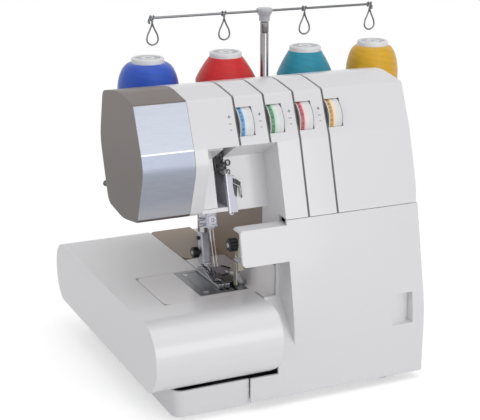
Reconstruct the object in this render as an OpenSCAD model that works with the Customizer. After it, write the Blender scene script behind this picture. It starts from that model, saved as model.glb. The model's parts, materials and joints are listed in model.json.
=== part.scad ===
// Overlock (serger) sewing machine with a retracted thread antenna and a slide-off extension table.
// Machine coordinates: X = 0 at the base's left face, Y = 0 at the base's front, Z = 0 on the ground.
// The frame's origin is the bottom centre of the whole machine's box, +Z up, +Y to the back.

/* [Base] */
// Width of the base and of the front panel
base_w = 262; // [250:1:280]
// Depth of the base
base_d = 262; // [262:1:280]
// Height of the rubber feet
foot_h = 6; // [4:0.5:9]
// Radius of a rubber foot
foot_r = 14; // [9:0.5:18]
// Height of the base pan above its feet
pan_h = 25.7; // [22:0.1:26]
// Wall of the moulded covers
wall = 2.5; // [2:0.1:2.8]
// How far the belt cover stands out of the right end
belt_bulge = 34; // [30:1:38]
// Left edge of the looper cover, where the base skirt ends
skirt_w = 75; // [60:1:78]

/* [Head] */
// How far the head overhangs the base's left face
head_overhang = 13.2; // [8:0.2:20]
// Width of the head's silver end cap
cap_w = 50.5; // [45:0.5:54]
// Height of the top of the head and tower
head_top = 295; // [294:0.5:300]
// Depth of the silver trim's seat
trim_t = 1.2; // [0.8:0.1:1.5]
// Wall of the upper cover
shell = 3; // [2.6:0.1:3.2]
// Height of the seam between the looper cover and the upper cover
seam_z = 176.5; // [176:0.1:178]
// Left face of the tower, where the throat ends
tower_x = 121; // [120.4:0.1:121.5]

/* [Threading recess] */
// Left side of the recess
recess_x0 = 50.2; // [48:0.1:54]
// Right side of the recess
recess_x1 = 119.8; // [119:0.1:120.2]
// Height of the recess's ceiling
recess_top = 246.3; // [245:0.1:246.4]
// Width of the deeper channel at the recess's left
channel_w = 28.3; // [26:0.1:28.5]
// Extra depth of that channel
channel_d = 14; // [10:0.5:15]

/* [Tension dials] */
// Place of the first thread slot
slot_x = 81.6; // [81.6:0.1:82]
// Distance from one dial to the next
dial_pitch = 30.5; // [30.2:0.1:30.8]
// Width of a thread slot
slot_w = 2.2; // [1.6:0.1:2.6]
// Radius of a tension dial
dial_r = 20; // [18:0.1:20]
// Width of a tension dial
dial_w = 15; // [13:0.1:15.2]
// Height of a dial's window
window_h = 25; // [23:0.5:26]
// Radius of the dials' spindle
spindle_r = 2.5; // [2:0.1:3]

/* [Looper cover] */
// Lower edge of the looper cover
door_z0 = 8.5; // [8:0.1:9]
// Left end of the cover's nose
nose_x = 72.6; // [70:0.2:76]
// Top of the nose
nose_top = 171.7; // [168:0.1:172]
// Bottom of the nose, where the chip scoop starts
nose_z = 138.5; // [136:0.5:142]
// Depth of the chip scoop behind the base's front
scoop_y = 28; // [24:0.5:28.5]
// Lower end of the chip scoop
scoop_z = 57; // [52:1:66]
// Radius of the looper cover's hinge rod
rod_r = 1.5; // [1.2:0.1:1.6]

/* [Extension table] */
// How far the table overhangs the base's left face
table_overhang = 23.3; // [18:0.1:30]
// Height of the table's top and of the bed
bed_z = 98.5; // [98.5:0.1:99]
// How far the table's front roll stands in front of the base
roll_y = 18.3; // [14:0.1:22]
// Height of the roll's crown above the bed
roll_crown = 3; // [1:0.5:4]
// Right end of the front roll
roll_x1 = 102; // [98:0.5:102.4]
// Rear end of the table
table_y1 = 285.6; // [280:0.2:292]
// Right edge of the table behind the free arm
table_x1 = 76; // [72:0.5:76.4]

/* [Free arm] */
// Left end of the free arm
arm_x0 = 11; // [8:0.5:14]
// Front of the free arm
arm_y0 = 47.5; // [46:0.5:48]
// Back of the free arm
arm_y1 = 128; // [127.5:0.5:130]
// Underside of the free arm
arm_z0 = 58; // [56:0.5:58]
// Left edge of the needle plate
plate_x0 = 50.5; // [50:0.5:56]
// Thickness of the needle plate
plate_t = 1.8; // [1.4:0.1:2]
// Gap between the table and the free arm
arm_gap = 0.6; // [0.4:0.1:1]

/* [Needle and presser] */
// Sideways place of the needle and presser bars
needle_x = 79; // [78.8:0.1:79.2]
// Place of the needle's path at the plate, from the front
needle_y = 80.5; // [80:0.1:81]
// Lean of the needle bar from the vertical
needle_lean = 16.7; // [16:0.1:17]
// Radius of the needle bar
needle_bar_r = 3.2; // [3:0.1:3.3]
// Distance between the two needles
needle_gap = 3.2; // [2:0.1:4]
// Lean of the presser bar from the vertical
presser_lean = 6.84; // [6.6:0.01:7]
// Place of the presser bar's path at the plate, from the front
presser_y = 110.8; // [110.6:0.1:111]
// Radius of the presser bar
presser_r = 3.5; // [3:0.1:3.6]
// Length of the presser foot
foot_len = 60; // [50:1:62]
// Width of the presser foot
foot_w = 11; // [10:0.5:12]

/* [Drive] */
// Place of the main shaft from the front
shaft_y = 118; // [116:0.5:119]
// Height of the main shaft
shaft_z = 70; // [69:0.5:71]
// Radius of the main shaft
shaft_r = 5; // [4:0.5:6]
// Radius of the handwheel
wheel_r = 35; // [32:1:38]
// Width of the handwheel
wheel_w = 14; // [10:1:16]
// Place of the motor from the front
motor_y = 195; // [190:1:200]
// Radius of the motor
motor_r = 28; // [24:1:32]
// Length of the motor
motor_len = 74; // [60:1:90]
// Pitch radius of the pulley on the main shaft
big_pulley_r = 27; // [24:1:30]
// Pitch radius of the motor's pulley
small_pulley_r = 9; // [8:0.5:11]

/* [Thread stand] */
// Place of the spool row from the front
spool_y = 186; // [184:0.5:188]
// Top of the spool tray
tray_top = 194; // [193.8:0.1:195]
// Height of a wound cone with its core
spool_h = 109.7; // [90:0.5:110]
// Radius of the white cap on a core
core_cap_r = 16.5; // [15:0.5:18]
// Height of the white cap on a core
core_cap_h = 5.2; // [4:0.1:8]
// Radius of a spool pin
pin_r = 3; // [2.5:0.1:4]
// Place of the antenna, and centre of the spool row
antenna_x = 178; // [176:0.5:180]
// Radius of the antenna's lower tube
antenna_r = 4.4; // [4.2:0.1:5]
// Top of the antenna's lower tube, above the cones
tube_rise = 27.5; // [19:0.5:30]
// The antenna's cross bar above the cones when it is pushed down
bar_rise = 38.5; // [36:0.5:39]
// Length of the antenna's cross bar
bar_len = 260; // [240:1:264]

/* [Fits] */
// Radial clearance of a shaft or rod in its bore
fit = 0.05; // [0.02:0.01:0.1]
// Gap between covers that lie against each other
seam = 0.3; // [0.2:0.05:0.4]

/* [Hidden] */
$fn = 48;
eps = 0.01;
big = 400;

// Heights that follow from the stack of pieces
pan_z0 = foot_h;
pan_z1 = foot_h + pan_h;
table_z0 = pan_z1 + seam;
tray_t = 6;
tray_z0 = tray_top - tray_t;
tower_z1 = tray_z0 - seam;
pin_flange_t = 2;
spool_z0 = tray_top + pin_flange_t + seam;
spool_z1 = spool_z0 + spool_h;
antenna_z = spool_z1 + tube_rise;
bar_z = spool_z1 + bar_rise;

// Outer faces of the box that holds the machine
belt_x = base_w + belt_bulge;
wheel_x = belt_x + 1.5;
tray_x0 = 17;
tray_x1 = 336;
min_x = -table_overhang;
max_x = tray_x1;
min_y = -roll_y;
max_y = table_y1;

// Head and tower sections in Y and Z, with the radius of each corner
head_outline = [[54, 288.5, 4], [36, 246.5, 1.5], [31.5, 229, 25], [49, 181, 7], [90, 174.5, 60],
    [131, 180, 12], [150.5, 240, 40], [139, 287, 10], [95, head_top, 60]];
tower_outline = [[54, 288.5, 4], [36, 246.5, 1.5], [15.7, seam_z + seam, 0], [150.5, tray_z0, 0],
    [150.5, 240, 40], [139, 287, 10], [95, head_top, 60]];
tower_room = [[54, 288.5, 4], [36, 246.5, 1.5], [7.8, 150, 0], [150.5, 150, 0], [150.5, 240, 40],
    [139, 287, 10], [95, head_top, 60]];
front_foot = [-3.7, door_z0];
front_bend = [-4.6, 75];
front_top = [15.6, seam_z];
arm_root_x = 104;
plate_x1 = plate_x0 + 50;
plate_y0 = 56;
plate_y1 = 127.3;
deck_x0 = 77;
deck_y0 = 159.8;
deck_z0 = bed_z - 2.8;
rod_y = 1.5;
rod_z = 13.5;
lug_x0 = 138;
throat_y0 = 68;
throat_y1 = 232;
cheek_y0 = 31;
cheek_z0 = 153;

spool_x = [50.1, 134.5, 225.2, 306.3];
spool_r = [30.8, 31, 29.5, 27.9];
eyelet_x = [-122.3, -45, 46, 123.5];
foot_places = [for (x = [63, base_w - 35], y = [24, base_d - 24]) [x, y]];

function unit(v) = v / norm(v);
function turn(v) = atan2(v[1], v[0]);
// One rounded corner: the arc that joins the two sides at the point c
function corner(p, c, n) =
    let(a = unit([p[0] - c[0], p[1] - c[1]]), b = unit([n[0] - c[0], n[1] - c[1]]),
        half = acos(max(-1, min(1, a * b))) / 2)
    c[2] <= 0.05 || half > 89.5 ? [[c[0], c[1]]] :
    let(reach = min(c[2] / tan(half), 0.49 * norm([p[0] - c[0], p[1] - c[1]]),
            0.49 * norm([n[0] - c[0], n[1] - c[1]])),
        r = reach * tan(half), m = [c[0], c[1]] + unit(a + b) * r / sin(half),
        t0 = turn([c[0], c[1]] + a * reach - m), t1 = turn([c[0], c[1]] + b * reach - m),
        sweep = (t1 - t0 + 540) % 360 - 180, steps = max(2, ceil(abs(sweep) / 11)))
    [for (i = [0:steps]) m + r * [cos(t0 + sweep * i / steps), sin(t0 + sweep * i / steps)]];
function rounded(q) = [for (i = [0:len(q) - 1])
    each corner(q[(i + len(q) - 1) % len(q)], q[i], q[(i + 1) % len(q)])];
// The outline moved inwards by t; the outline runs anticlockwise
function side(p, q, t) = let(d = unit([q[0] - p[0], q[1] - p[1]]), n = [-d[1], d[0]])
    [[p[0], p[1]] + n * t, d];
function meet(s, u) = let(k = s[1][0] * u[1][1] - s[1][1] * u[1][0], w = u[0] - s[0])
    abs(k) < 0.0001 ? u[0] : s[0] + s[1] * (w[0] * u[1][1] - w[1] * u[1][0]) / k;
function inset(q, t) = [for (i = [0:len(q) - 1])
    let(p = q[(i + len(q) - 1) % len(q)], c = q[i], n = q[(i + 1) % len(q)],
        m = meet(side(p, c, t), side(c, n, t)),
        convex = (c[0] - p[0]) * (n[1] - c[1]) - (c[1] - p[1]) * (n[0] - c[0]) > 0)
    [m[0], m[1], c[2] <= 0.05 ? 0 : max(0, c[2] + (convex ? -t : t))]];
function area2(q) = [for (i = [0:len(q) - 1]) let(n = q[(i + 1) % len(q)])
    q[i][0] * n[1] - q[i][1] * n[0]];
function total(v, i = 0) = i >= len(v) ? 0 : v[i] + total(v, i + 1);
function ccw(q) = total(area2(q)) < 0 ? [for (i = [len(q) - 1:-1:0]) q[i]] : q;
function rect(x0, y0, x1, y1, r = 0) = [[x0, y0, r], [x1, y0, r], [x1, y1, r], [x0, y1, r]];

module place() { translate([-(min_x + max_x) / 2, -(min_y + max_y) / 2, 0]) children(); }
// Outlines drawn in Y and Z and drawn out along X, and the same for the other two directions
module along_x(x0, x1, q) {
    translate([x0, 0, 0]) rotate([90, 0, 90]) linear_extrude(x1 - x0) polygon(rounded(ccw(q)));
}
module along_y(y0, y1, q) {
    translate([0, y1, 0]) rotate([90, 0, 0]) linear_extrude(y1 - y0) polygon(rounded(ccw(q)));
}
module along_z(z0, z1, q) {
    translate([0, 0, z0]) linear_extrude(z1 - z0) polygon(rounded(ccw(q)));
}
module box(a, b) { translate(a) cube(b - a); }
module rod_x(x0, x1, y, z, r) { translate([x0, y, z]) rotate([0, 90, 0]) cylinder(x1 - x0, r = r); }
module rod_y(x, y0, y1, z, r) { translate([x, y1, z]) rotate([90, 0, 0]) cylinder(y1 - y0, r = r); }
module rod_up(x, y, z0, z1, r) { translate([x, y, z0]) cylinder(z1 - z0, r = r); }
module ring(r, t, sides = 48) { rotate_extrude($fn = sides) translate([r, 0]) circle(t, $fn = 16); }
module on_needle(s) {
    translate([needle_x, needle_y, bed_z]) rotate([-needle_lean, 0, 0]) translate([0, 0, s]) children();
}
module on_presser(s) {
    translate([needle_x, presser_y, bed_z]) rotate([-presser_lean, 0, 0]) translate([0, 0, s]) children();
}

// Footprint of the base, with the belt cover's bulge at the right
base_plan = [[0, 0, 10], [base_w, 0, 9], [base_w, 42, 12], [belt_x, 94, 14], [belt_x, base_d, 14],
    [0, base_d, 14]];
// Everything that lies a given way behind the front panel's face
function behind_front(d) = [[front_foot[0] + d, 0, 0], [front_foot[0] + d, front_foot[1], 0],
    [front_bend[0] + d, front_bend[1], 150], [front_top[0] + d, front_top[1], 0],
    [front_top[0] + d + 3.9, 190, 0], [big, 190, 0], [big, 0, 0]];

module base_pan() {
    color([0.9, 0.9, 0.92]) place() {
        difference() {
            along_z(pan_z0, pan_z1, base_plan);
            along_z(pan_z0 + wall, pan_z1 + 1, inset(base_plan, wall));
            box([skirt_w, -1, pan_z0 - 1], [belt_x + 1, rod_y + 8, pan_z1 + 1]);
        }
        for (x = [lug_x0, base_w - 20]) difference() {
            union() {
                rod_x(x, x + 4, rod_y, rod_z, rod_r + 1);
                box([x, rod_y, rod_z - 2], [x + 4, rod_y + 11, rod_z + 2]);
                box([x, rod_y + 8, pan_z0 + wall - eps], [x + 4, rod_y + 11, rod_z + 2]);
            }
            rod_x(x - 1, x + 5, rod_y, rod_z, rod_r + fit);
        }
    }
}

module rubber_feet() {
    color([0.13, 0.13, 0.14]) place() for (p = foot_places) translate([p[0], p[1], 0])
        rotate_extrude() polygon([[0, 0], [foot_r - 1.5, 0], [foot_r, 1.5], [foot_r - 1, foot_h],
            [0, foot_h]]);
}

// Frame: floor plate, two uprights, the arm in the head and the arm under the bed
frame_x0 = 131;
frame_t = 5;
frame_x1 = base_w - 16;
floor_z = pan_z0 + wall;
bush_r = 8;
block_z = [185, 206];
block_h = 6;
web_x = 89;
web_t = 6;
lever_y = 104;
lever_z = 240;
lever_pin_r = 3;
finger_x = recess_x0 + 20.5;
lift_y = 133.5;
lift_z = 208;
lift_pin_r = 2.5;
looper_y = 79.7;
looper_pin = [112, 48];
looper_pin_r = 4;
looper_rod_r = 2;
looper_rod_at = [112, 72, 63];
looper_lean = 30;
looper_travel = 14;
looper_foot_z = 82;
looper_block_z = looper_foot_z - looper_travel * cos(looper_lean) - 0.6;
module on_looper_rod(s) {
    translate(looper_rod_at) rotate([0, -looper_lean, 0]) translate([0, 0, s]) children();
}
module chassis_frame() {
    arm_plate_z = arm_z0 + wall + seam;
    color([0.68, 0.69, 0.7]) place() difference() {
        union() {
            box([20, 20, floor_z], [base_w - 7, base_d - 12, floor_z + 4]);
            along_x(frame_x0, frame_x0 + frame_t, [[40, floor_z, 0], [140, floor_z, 0], [140, 200, 0],
                [134, 232, 0], [120, 274, 6], [57, 274, 3], [50, 262, 3], [50, 180, 10], [40, 150, 10]]);
            box([frame_x1, 60, floor_z], [frame_x1 + frame_t, motor_y + 33, 108]);
            box([web_x, 92, 214], [frame_x0 + eps, 134, 222]);
            along_x(web_x, web_x + web_t, [[94, block_z[0], 0], [124, block_z[0], 0], [137, 209, 0],
                [138, 222, 0], [92, 222, 0]]);
            box([web_x, lever_y - 7, 214], [web_x + web_t, lever_y + 7, lever_z + 7]);
            for (z = block_z)
                box([needle_x - 7, 99 + (z - block_z[0]) * 0.28, z], [web_x + 1, 128.8, z + block_h]);
            box([40, 64, arm_plate_z], [frame_x0 + eps, 110, arm_plate_z + frame_t]);
            box([80, 57, arm_plate_z], [86.5, 68, 85]);
            box([72, 92, arm_plate_z], [86, 110, feed_z - seam]);
            box([98, 67, arm_plate_z], [118, 78, looper_block_z]);
            box([105, 88, looper_pin[1] - 6], [frame_x0 + eps, 98, looper_pin[1] + 6]);
            box([95.3, 54, 128], [frame_x0 + eps, 67, 150]);
        }
        rod_x(frame_x0 - 1, frame_x1 + 7, shaft_y, shaft_z, bush_r + fit);
        rod_x(frame_x1 - 1, frame_x1 + 7, motor_y, shaft_z, 9);
        rod_x(frame_x0 - 1, frame_x0 + frame_t + 1, dial_y, dial_z, spindle_r + fit);
        on_needle(60) cylinder(80, r = needle_bar_r + fit);
        on_presser(60) cylinder(80, r = presser_r + fit);
        rod_x(web_x - 1, web_x + web_t + 1, lift_y, lift_z, lift_pin_r + fit);
        rod_x(web_x - 1, web_x + web_t + 1, lever_y, lever_z, lever_pin_r + fit);
        on_looper_rod(-40) cylinder(60, r = looper_rod_r + fit);
        rod_y(looper_pin[0], 87, 99, looper_pin[1], looper_pin_r + fit);
        box([88, looper_y - 1, arm_plate_z - 1], [121, looper_y + 4.6, arm_plate_z + frame_t + 1]);
    }
}

arm_plan = [[arm_x0, arm_y0, 8], [arm_root_x, arm_y0, 0], [arm_root_x, scoop_y + 4, 0],
    [tower_x - 1.5, scoop_y + 4, 0], [tower_x - 1.5, arm_y1, 0], [arm_x0, arm_y1, 8]];
// Plan of the upright wall between the bed and the looper cover
bed_cheek = [[arm_root_x, 92, 1.2], [arm_root_x, 57, 30], [116.6, scoop_y + 4.4, 0],
    [119.2, scoop_y + 4.4, 0], [arm_root_x + wall, 58, 30], [arm_root_x + wall, 92, 1.2]];
module free_arm_cover() {
    color([0.92, 0.92, 0.93]) place() difference() {
        union() {
            along_z(arm_z0, bed_z, arm_plan);
            box([table_x1 + 1, arm_y0, pan_z1], [arm_root_x, arm_y1, arm_z0 + 1]);
            intersection() {
                along_z(bed_z - 1, 127.6, bed_cheek);
                along_x(arm_root_x - 1, tower_x, [[scoop_y, bed_z - 2, 0], [94, bed_z - 2, 0], [92, bed_z, 0],
                    [56, 130, 0], [scoop_y, 130, 0]]);
            }
        }
        along_z(arm_z0 + wall, bed_z - wall, [[arm_x0 + wall, arm_y0 + wall, 5.5],
            [arm_root_x + wall, arm_y0 + wall, 0], [arm_root_x + wall, scoop_y + 3, 0],
            [tower_x, scoop_y + 3, 0], [tower_x, arm_y1 - wall, 0], [arm_x0 + wall, arm_y1 - wall, 5.5]]);
        box([table_x1 + 1 + wall, arm_y0 + wall, pan_z1 - 1], [tower_x, arm_y1 - wall, arm_z0 + wall + 1]);
        box([arm_root_x - 1, scoop_y, arm_z0 - 1], [tower_x, arm_y0 + wall + 1, bed_z - wall]);
        box([plate_x0 - 0.1, plate_y0 - 0.1, bed_z - plate_t], [plate_x1 + 0.1, plate_y1 + 0.1, bed_z + 1]);
        box([plate_x0 + 22, plate_y0 + 1.5, bed_z - 9], [plate_x1 - 2, plate_y1 - 6, bed_z]);
        box([86, 67, bed_z - 9], [arm_root_x - 0.3, 82, bed_z + 1]);
        box([86, 69.7, bed_z - 9], [105.6, 74.3, 102]);
        for (y = screw_y) rod_up(screw_x, y, bed_z - 9, bed_z, 1.6);
    }
}

screw_x = 59.5;
screw_y = [64.5, 117.3];
module needle_plate() {
    color([0.45, 0.46, 0.47]) place() difference() {
        box([plate_x0, plate_y0, bed_z - plate_t], [plate_x1, plate_y1, bed_z]);
        box([needle_x - needle_gap / 2 - 1.6, needle_y - 6, bed_z - 5],
            [needle_x + needle_gap / 2 + 1.6, needle_y + 2.5, bed_z + 1]);
        for (x = [74.3, 80.5]) box([x, 86, bed_z - 5], [x + 3.2, 116, bed_z + 1]);
        for (x = [74.3, 80.5]) box([x, 62, bed_z - 5], [x + 3.2, 72, bed_z + 1]);
        box([86, plate_y0 + 1.6, bed_z - 5], [90.2, 82, bed_z + 1]);
        box([86, 67, bed_z - 5], [plate_x1 + 1, 82, bed_z + 1]);
        for (y = screw_y) {
            rod_up(screw_x, y, bed_z - 5, bed_z + 1, 1.7);
            rod_up(screw_x, y, bed_z - 1, bed_z + 1, 3.1);
        }
    }
}

module needle_plate_screws() {
    color([0.75, 0.75, 0.76]) place() for (y = screw_y) translate([screw_x, y, 0]) difference() {
        union() {
            rod_up(0, 0, bed_z - 1, bed_z + 0.2, 3);
            rod_up(0, 0, bed_z - 6, bed_z - 1, 1.5);
        }
        box([-3, -0.4, bed_z - 0.4], [3, 0.4, bed_z + 1]);
    }
}

module throat_liner() {
    color([0.57, 0.5, 0.45]) place() {
        along_x(tower_x, tower_x + 2.7, [[throat_y0, bed_z, 0], [throat_y1, bed_z, 0],
            [throat_y1, tower_z1, 0], [151, tower_z1, 0], [150.5, tower_z1 - seam, 0],
            [throat_y0, seam_z + 4.1, 0]]);
        difference() {
            along_z(deck_z0, bed_z, [[deck_x0 - 0.5, deck_y0, 14], [tower_x + 2.7, deck_y0, 0],
                [tower_x + 2.7, base_d, 0], [deck_x0 - 0.5, base_d, 6]]);
            box([tower_x + 2.7 - eps, 0, 0], [big, big, big]);
        }
        box([tower_x, deck_y0, deck_z0], [tower_x + 2.7, throat_y1, bed_z + eps]);
    }
}

module rear_cover() {
    low = [[deck_x0, arm_y1 + 1, 0], [base_w - seam, arm_y1 + 1, 0], [base_w - seam, base_d, 0],
        [deck_x0, base_d, 6]];
    high = [[tower_x + 3, 150.8, 0], [base_w - seam, 150.8, 0], [base_w - seam, base_d, 0],
        [tower_x + 3, base_d, 27]];
    color([0.88, 0.88, 0.9]) place() difference() {
        union() {
            along_z(pan_z1, deck_z0, low);
            box([deck_x0, arm_y1 + 1, deck_z0 - 1], [tower_x - 0.5, deck_y0 - 0.2, bed_z]);
            along_z(deck_z0 - 1, tower_z1, high);
        }
        along_z(pan_z1 - 1, deck_z0 - wall, [[deck_x0 + wall, arm_y1 + 1 + wall, 0],
            [big, arm_y1 + 1 + wall, 0], [big, base_d - wall, 0], [deck_x0 + wall, base_d - wall, 4]]);
        box([tower_x - 0.5, arm_y1, pan_z1 - 1], [big, arm_y1 + 10, deck_z0 + 1]);
        box([deck_x0 + wall, arm_y1 + 1 + wall, deck_z0 - 4], [tower_x - 3, deck_y0 - 3, bed_z - wall]);
        along_z(deck_z0 - 10, tower_z1 - wall, [[tower_x + 3 + wall, 140, 0], [big, 140, 0],
            [big, base_d - wall, 0], [tower_x + 3 + wall, base_d - wall, 24.5]]);
        box([tower_x - 0.5, arm_y1, deck_z0 - 5], [big, 150.5, bed_z]);
        translate([152, base_d - 4, 0]) for (i = [0:9])
            box([i * 7, 0, 40], [i * 7 + 3, 5, 74]);
    }
}

module belt_cover() {
    color([0.89, 0.89, 0.91]) place() difference() {
        union() {
            difference() {
                intersection() {
                    along_z(pan_z1, tower_z1, base_plan);
                    box([base_w, 30, 0], [belt_x + 1, base_d + 1, big]);
                }
                along_z(pan_z1 - 1, tower_z1 - wall, inset(base_plan, wall));
            }
            box([base_w - wall, 6, pan_z1], [base_w + eps, 56, seam_z]);
            for (y = [-1, 1]) difference() {
                box([switch_pin[0] - 3, switch_y + y * 7.8 - 1, switch_z - 8],
                    [belt_x - 1, switch_y + y * 7.8 + 1, switch_z + 8]);
                rod_y(switch_pin[0], switch_y - 10, switch_y + 10, switch_z, switch_pin_r + fit);
            }
        }
        difference() {
            box([base_w - 6, -20, 0], [belt_x + 1, 60, big]);
            along_x(base_w - 7, belt_x + 2, behind_front(12));
        }
        rod_x(belt_x - 5, belt_x + 1, shaft_y, shaft_z, 13);
        rod_x(belt_x - 5, belt_x + 1, length_dial_y, length_dial_z, 5 + fit);
        box([belt_x - 5, switch_y - 6.5, switch_z - 10.5], [belt_x + 1, switch_y + 6.5, switch_z + 10.5]);
        box([belt_x - 5, inlet_y - 12.5, inlet_z - 9.5], [belt_x + 1, inlet_y + 12.5, inlet_z + 9.5]);
        for (i = [0:5]) translate([belt_x, base_d - 112 + i * 8, 0]) box([-5, 0, 130], [1, 4, 156]);
    }
}

// Dial axis: the dial stands out of the middle of the slanted facet
dial_y = 59.2;
dial_z = 259.8;
facet_z = [254, 254 + window_h];
function dial_x(i) = slot_x + slot_w + i * dial_pitch + 0.2;
block_room = [[-30, 150, 0], [46, 150, 0], [52, 178, 0], [66.2, 229, 0], [36, recess_top, 0],
    [-30, recess_top, 0]];
channel_room = [[-30, 184, 0], [block_room[3][0] + channel_d - 3, 184, 0],
    [block_room[3][0] + channel_d + 9.5, recess_top, 0], [-30, recess_top, 0]];
module recess_block(grow) { along_x(recess_x0 - grow, recess_x1 + grow, inset(block_room, -grow)); }
module recess_channel(grow) {
    along_x(recess_x0 - grow, recess_x0 + channel_w + grow, inset(channel_room, -grow));
}
module upper_cover() {
    x0 = -head_overhang + cap_w;
    color([0.93, 0.93, 0.94]) place() difference() {
        intersection() {
            union() {
                difference() {
                    union() {
                        along_x(x0, tower_x, head_outline);
                        along_x(tower_x - eps, base_w, tower_outline);
                    }
                    along_x(x0 - 1, tower_x + shell + 1, inset(ccw(head_outline), shell));
                    along_x(tower_x + shell, base_w - shell, inset(ccw(tower_room), shell));
                }
                intersection() {
                    union() {
                        recess_block(shell);
                        recess_channel(shell);
                    }
                    union() {
                        along_x(x0, tower_x, head_outline);
                        along_x(tower_x - 2, base_w, tower_outline);
                    }
                }
                box([recess_x1, cheek_y0, cheek_z0], [recess_x1 + shell, throat_y0 - 1, seam_z + 8]);
            }
            along_z(0, big, [[-big, -big, 0], [base_w, -big, 0], [base_w, big, 0], [-big, big, 0]]);
            along_z(0, big, [[x0 - 1, 12, 0], [base_w, 12, 10], [base_w, big, 0], [x0 - 1, big, 0]]);
        }
        recess_block(0);
        recess_channel(0);
        for (i = [0:3]) {
            translate([slot_x + i * dial_pitch, 0, 0]) {
                box([0, 0, facet_z[0] - 3], [slot_w, 52, 287]);
                difference() {
                    box([0, 0, i < 2 ? recess_top : seam_z], [slot_w, 140, big]);
                    along_x(-1, slot_w + 1, inset(ccw(i < 2 ? head_outline : tower_room), 1.4));
                }
            }
            box([dial_x(i) - 0.4, 20, facet_z[0]], [dial_x(i) + dial_w + 0.4, 58, facet_z[1]]);
            rod_x(dial_x(i) - 0.4, dial_x(i) + dial_w + 0.4, dial_y, dial_z, dial_r + 0.6);
        }
        box([needle_x - 15, 90, 170], [needle_x + 9.5, 132, 184]);
        box([needle_x - 7, 126, 186], [needle_x + 6, 160, 222]);
        on_presser(170) cylinder(60, r = 6.3);
        box([finger_x - 2.5, 75, 212], [finger_x + 7, 96, 244.5]);
    }
}

trim_zone = [[-10, 183, 0], [47.5, 183, 0], [80, 246, 0], [55.8, 287.6, 0], [-10, 287.6, 0]];
module cap_trim_region(x0, x1, depth) {
    intersection() {
        difference() {
            along_x(x0, x1, head_outline);
            along_x(x0 - 1, x1 + 1, inset(ccw(head_outline), depth));
        }
        along_x(x0, x1, trim_zone);
    }
}
module head_end_cap() {
    x0 = -head_overhang;
    x1 = x0 + cap_w - seam;
    color([0.47, 0.43, 0.4]) place() difference() {
        along_x(x0, x1, head_outline);
        along_x(x0 + shell, x1 + 1, inset(ccw(head_outline), shell));
        cap_trim_region(x0 - 1, x1 + 1, trim_t);
    }
}
module head_trim() {
    color([0.8, 0.82, 0.85]) place() cap_trim_region(-head_overhang, -head_overhang + cap_w - seam, trim_t);
}

// Thread stand
module spool_tray() {
    plan = [[tray_x0, 152, 8], [tray_x1, 152, 10], [tray_x1, 236, 20], [tray_x0, 236, 25]];
    color([0.9, 0.9, 0.91]) place() difference() {
        along_z(tray_z0, tray_top, plan);
        along_z(tray_z0 - 1, tray_top - wall, inset(plan, wall));
        box([64, 151, tray_z0 - 1], [94, 168, tray_top + 1]);
        rod_up(antenna_x, spool_y, tray_z0 - 1, tray_top + 1, antenna_r + fit);
    }
}

module spool_pins() {
    color([0.85, 0.85, 0.87]) place() for (x = spool_x) translate([x, spool_y, tray_top])
        rotate_extrude() polygon([[0, 0], [12, 0], [12, pin_flange_t - 0.6], [11.4, pin_flange_t],
            [pin_r, pin_flange_t], [pin_r, 88], [pin_r - 1, 90], [0, 91]]);
}

// A cone of thread on its core: radius, height of the shoulder, and how round the shoulder is
module spool(i, shoulder, round) {
    bore = pin_r + fit;
    r = spool_r[i];
    top = spool_h - core_cap_h;
    neck = core_cap_r + 0.4;
    curve = [for (a = [0:15:90]) [neck + (r - neck) * (round * cos(a) + (1 - round) * (1 - a / 90)),
        shoulder + (top - shoulder) * (round * sin(a) + (1 - round) * a / 90)]];
    translate([spool_x[i], spool_y, spool_z0]) rotate_extrude($fn = 64) polygon(concat(
        [[bore, 0], [core_cap_r + 2, 0], [core_cap_r + 2, 2.5], [r - 3, 2.5], [r, 5.5]], curve,
        [[core_cap_r, top], [core_cap_r, spool_h - 1.5], [core_cap_r - 1.5, spool_h], [bore, spool_h]]));
}
module spool_blue() { color([0.22, 0.42, 0.85]) place() spool(0, 76, 1); }
module spool_red() { color([0.9, 0.1, 0.1]) place() spool(1, 82, 0.15); }
module spool_teal() { color([0.12, 0.66, 0.8]) place() spool(2, 80, 0.15); }
module spool_gold() { color([0.92, 0.76, 0.16]) place() spool(3, 76, 0.9); }

tube_r = antenna_r - 0.95 - fit;
thin_rod_r = tube_r - 0.95 - fit;
cap_z0 = antenna_z + 0.6;
cap_z1 = bar_z + 3;
bar_r = 1.3;
wire_r = 0.9;
module antenna_socket() {
    color([0.84, 0.84, 0.86]) place() translate([antenna_x, spool_y, 0]) difference() {
        union() {
            rod_up(0, 0, tray_z0, antenna_z, antenna_r);
            rod_up(0, 0, tray_top, tray_top + 5, 11);
        }
        rod_up(0, 0, tray_z0 - 1, antenna_z + 1, tube_r + fit);
    }
}
module antenna_tube() {
    color([0.78, 0.78, 0.8]) place() translate([antenna_x, spool_y, 0]) difference() {
        rod_up(0, 0, 205, antenna_z, tube_r);
        rod_up(0, 0, 200, antenna_z + 1, thin_rod_r + fit);
    }
}
module antenna_rod() {
    color([0.8, 0.8, 0.82]) place() rod_up(antenna_x, spool_y, 212, cap_z0 + 8, thin_rod_r);
}
module antenna_cap() {
    color([0.72, 0.73, 0.75]) place() translate([antenna_x, spool_y, 0]) difference() {
        rotate_extrude() polygon([[0, cap_z0], [5.2, cap_z0], [5.7, cap_z0 + 0.5], [5.7, cap_z0 + 4],
            [8.5, cap_z0 + 5.5], [8.5, cap_z1 - 1.5], [7, cap_z1], [0, cap_z1]]);
        rod_up(0, 0, cap_z0 - 1, cap_z0 + 8, thin_rod_r + fit);
        rod_x(-10, 10, 0, bar_z, bar_r + 0.02);
    }
}
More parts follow.
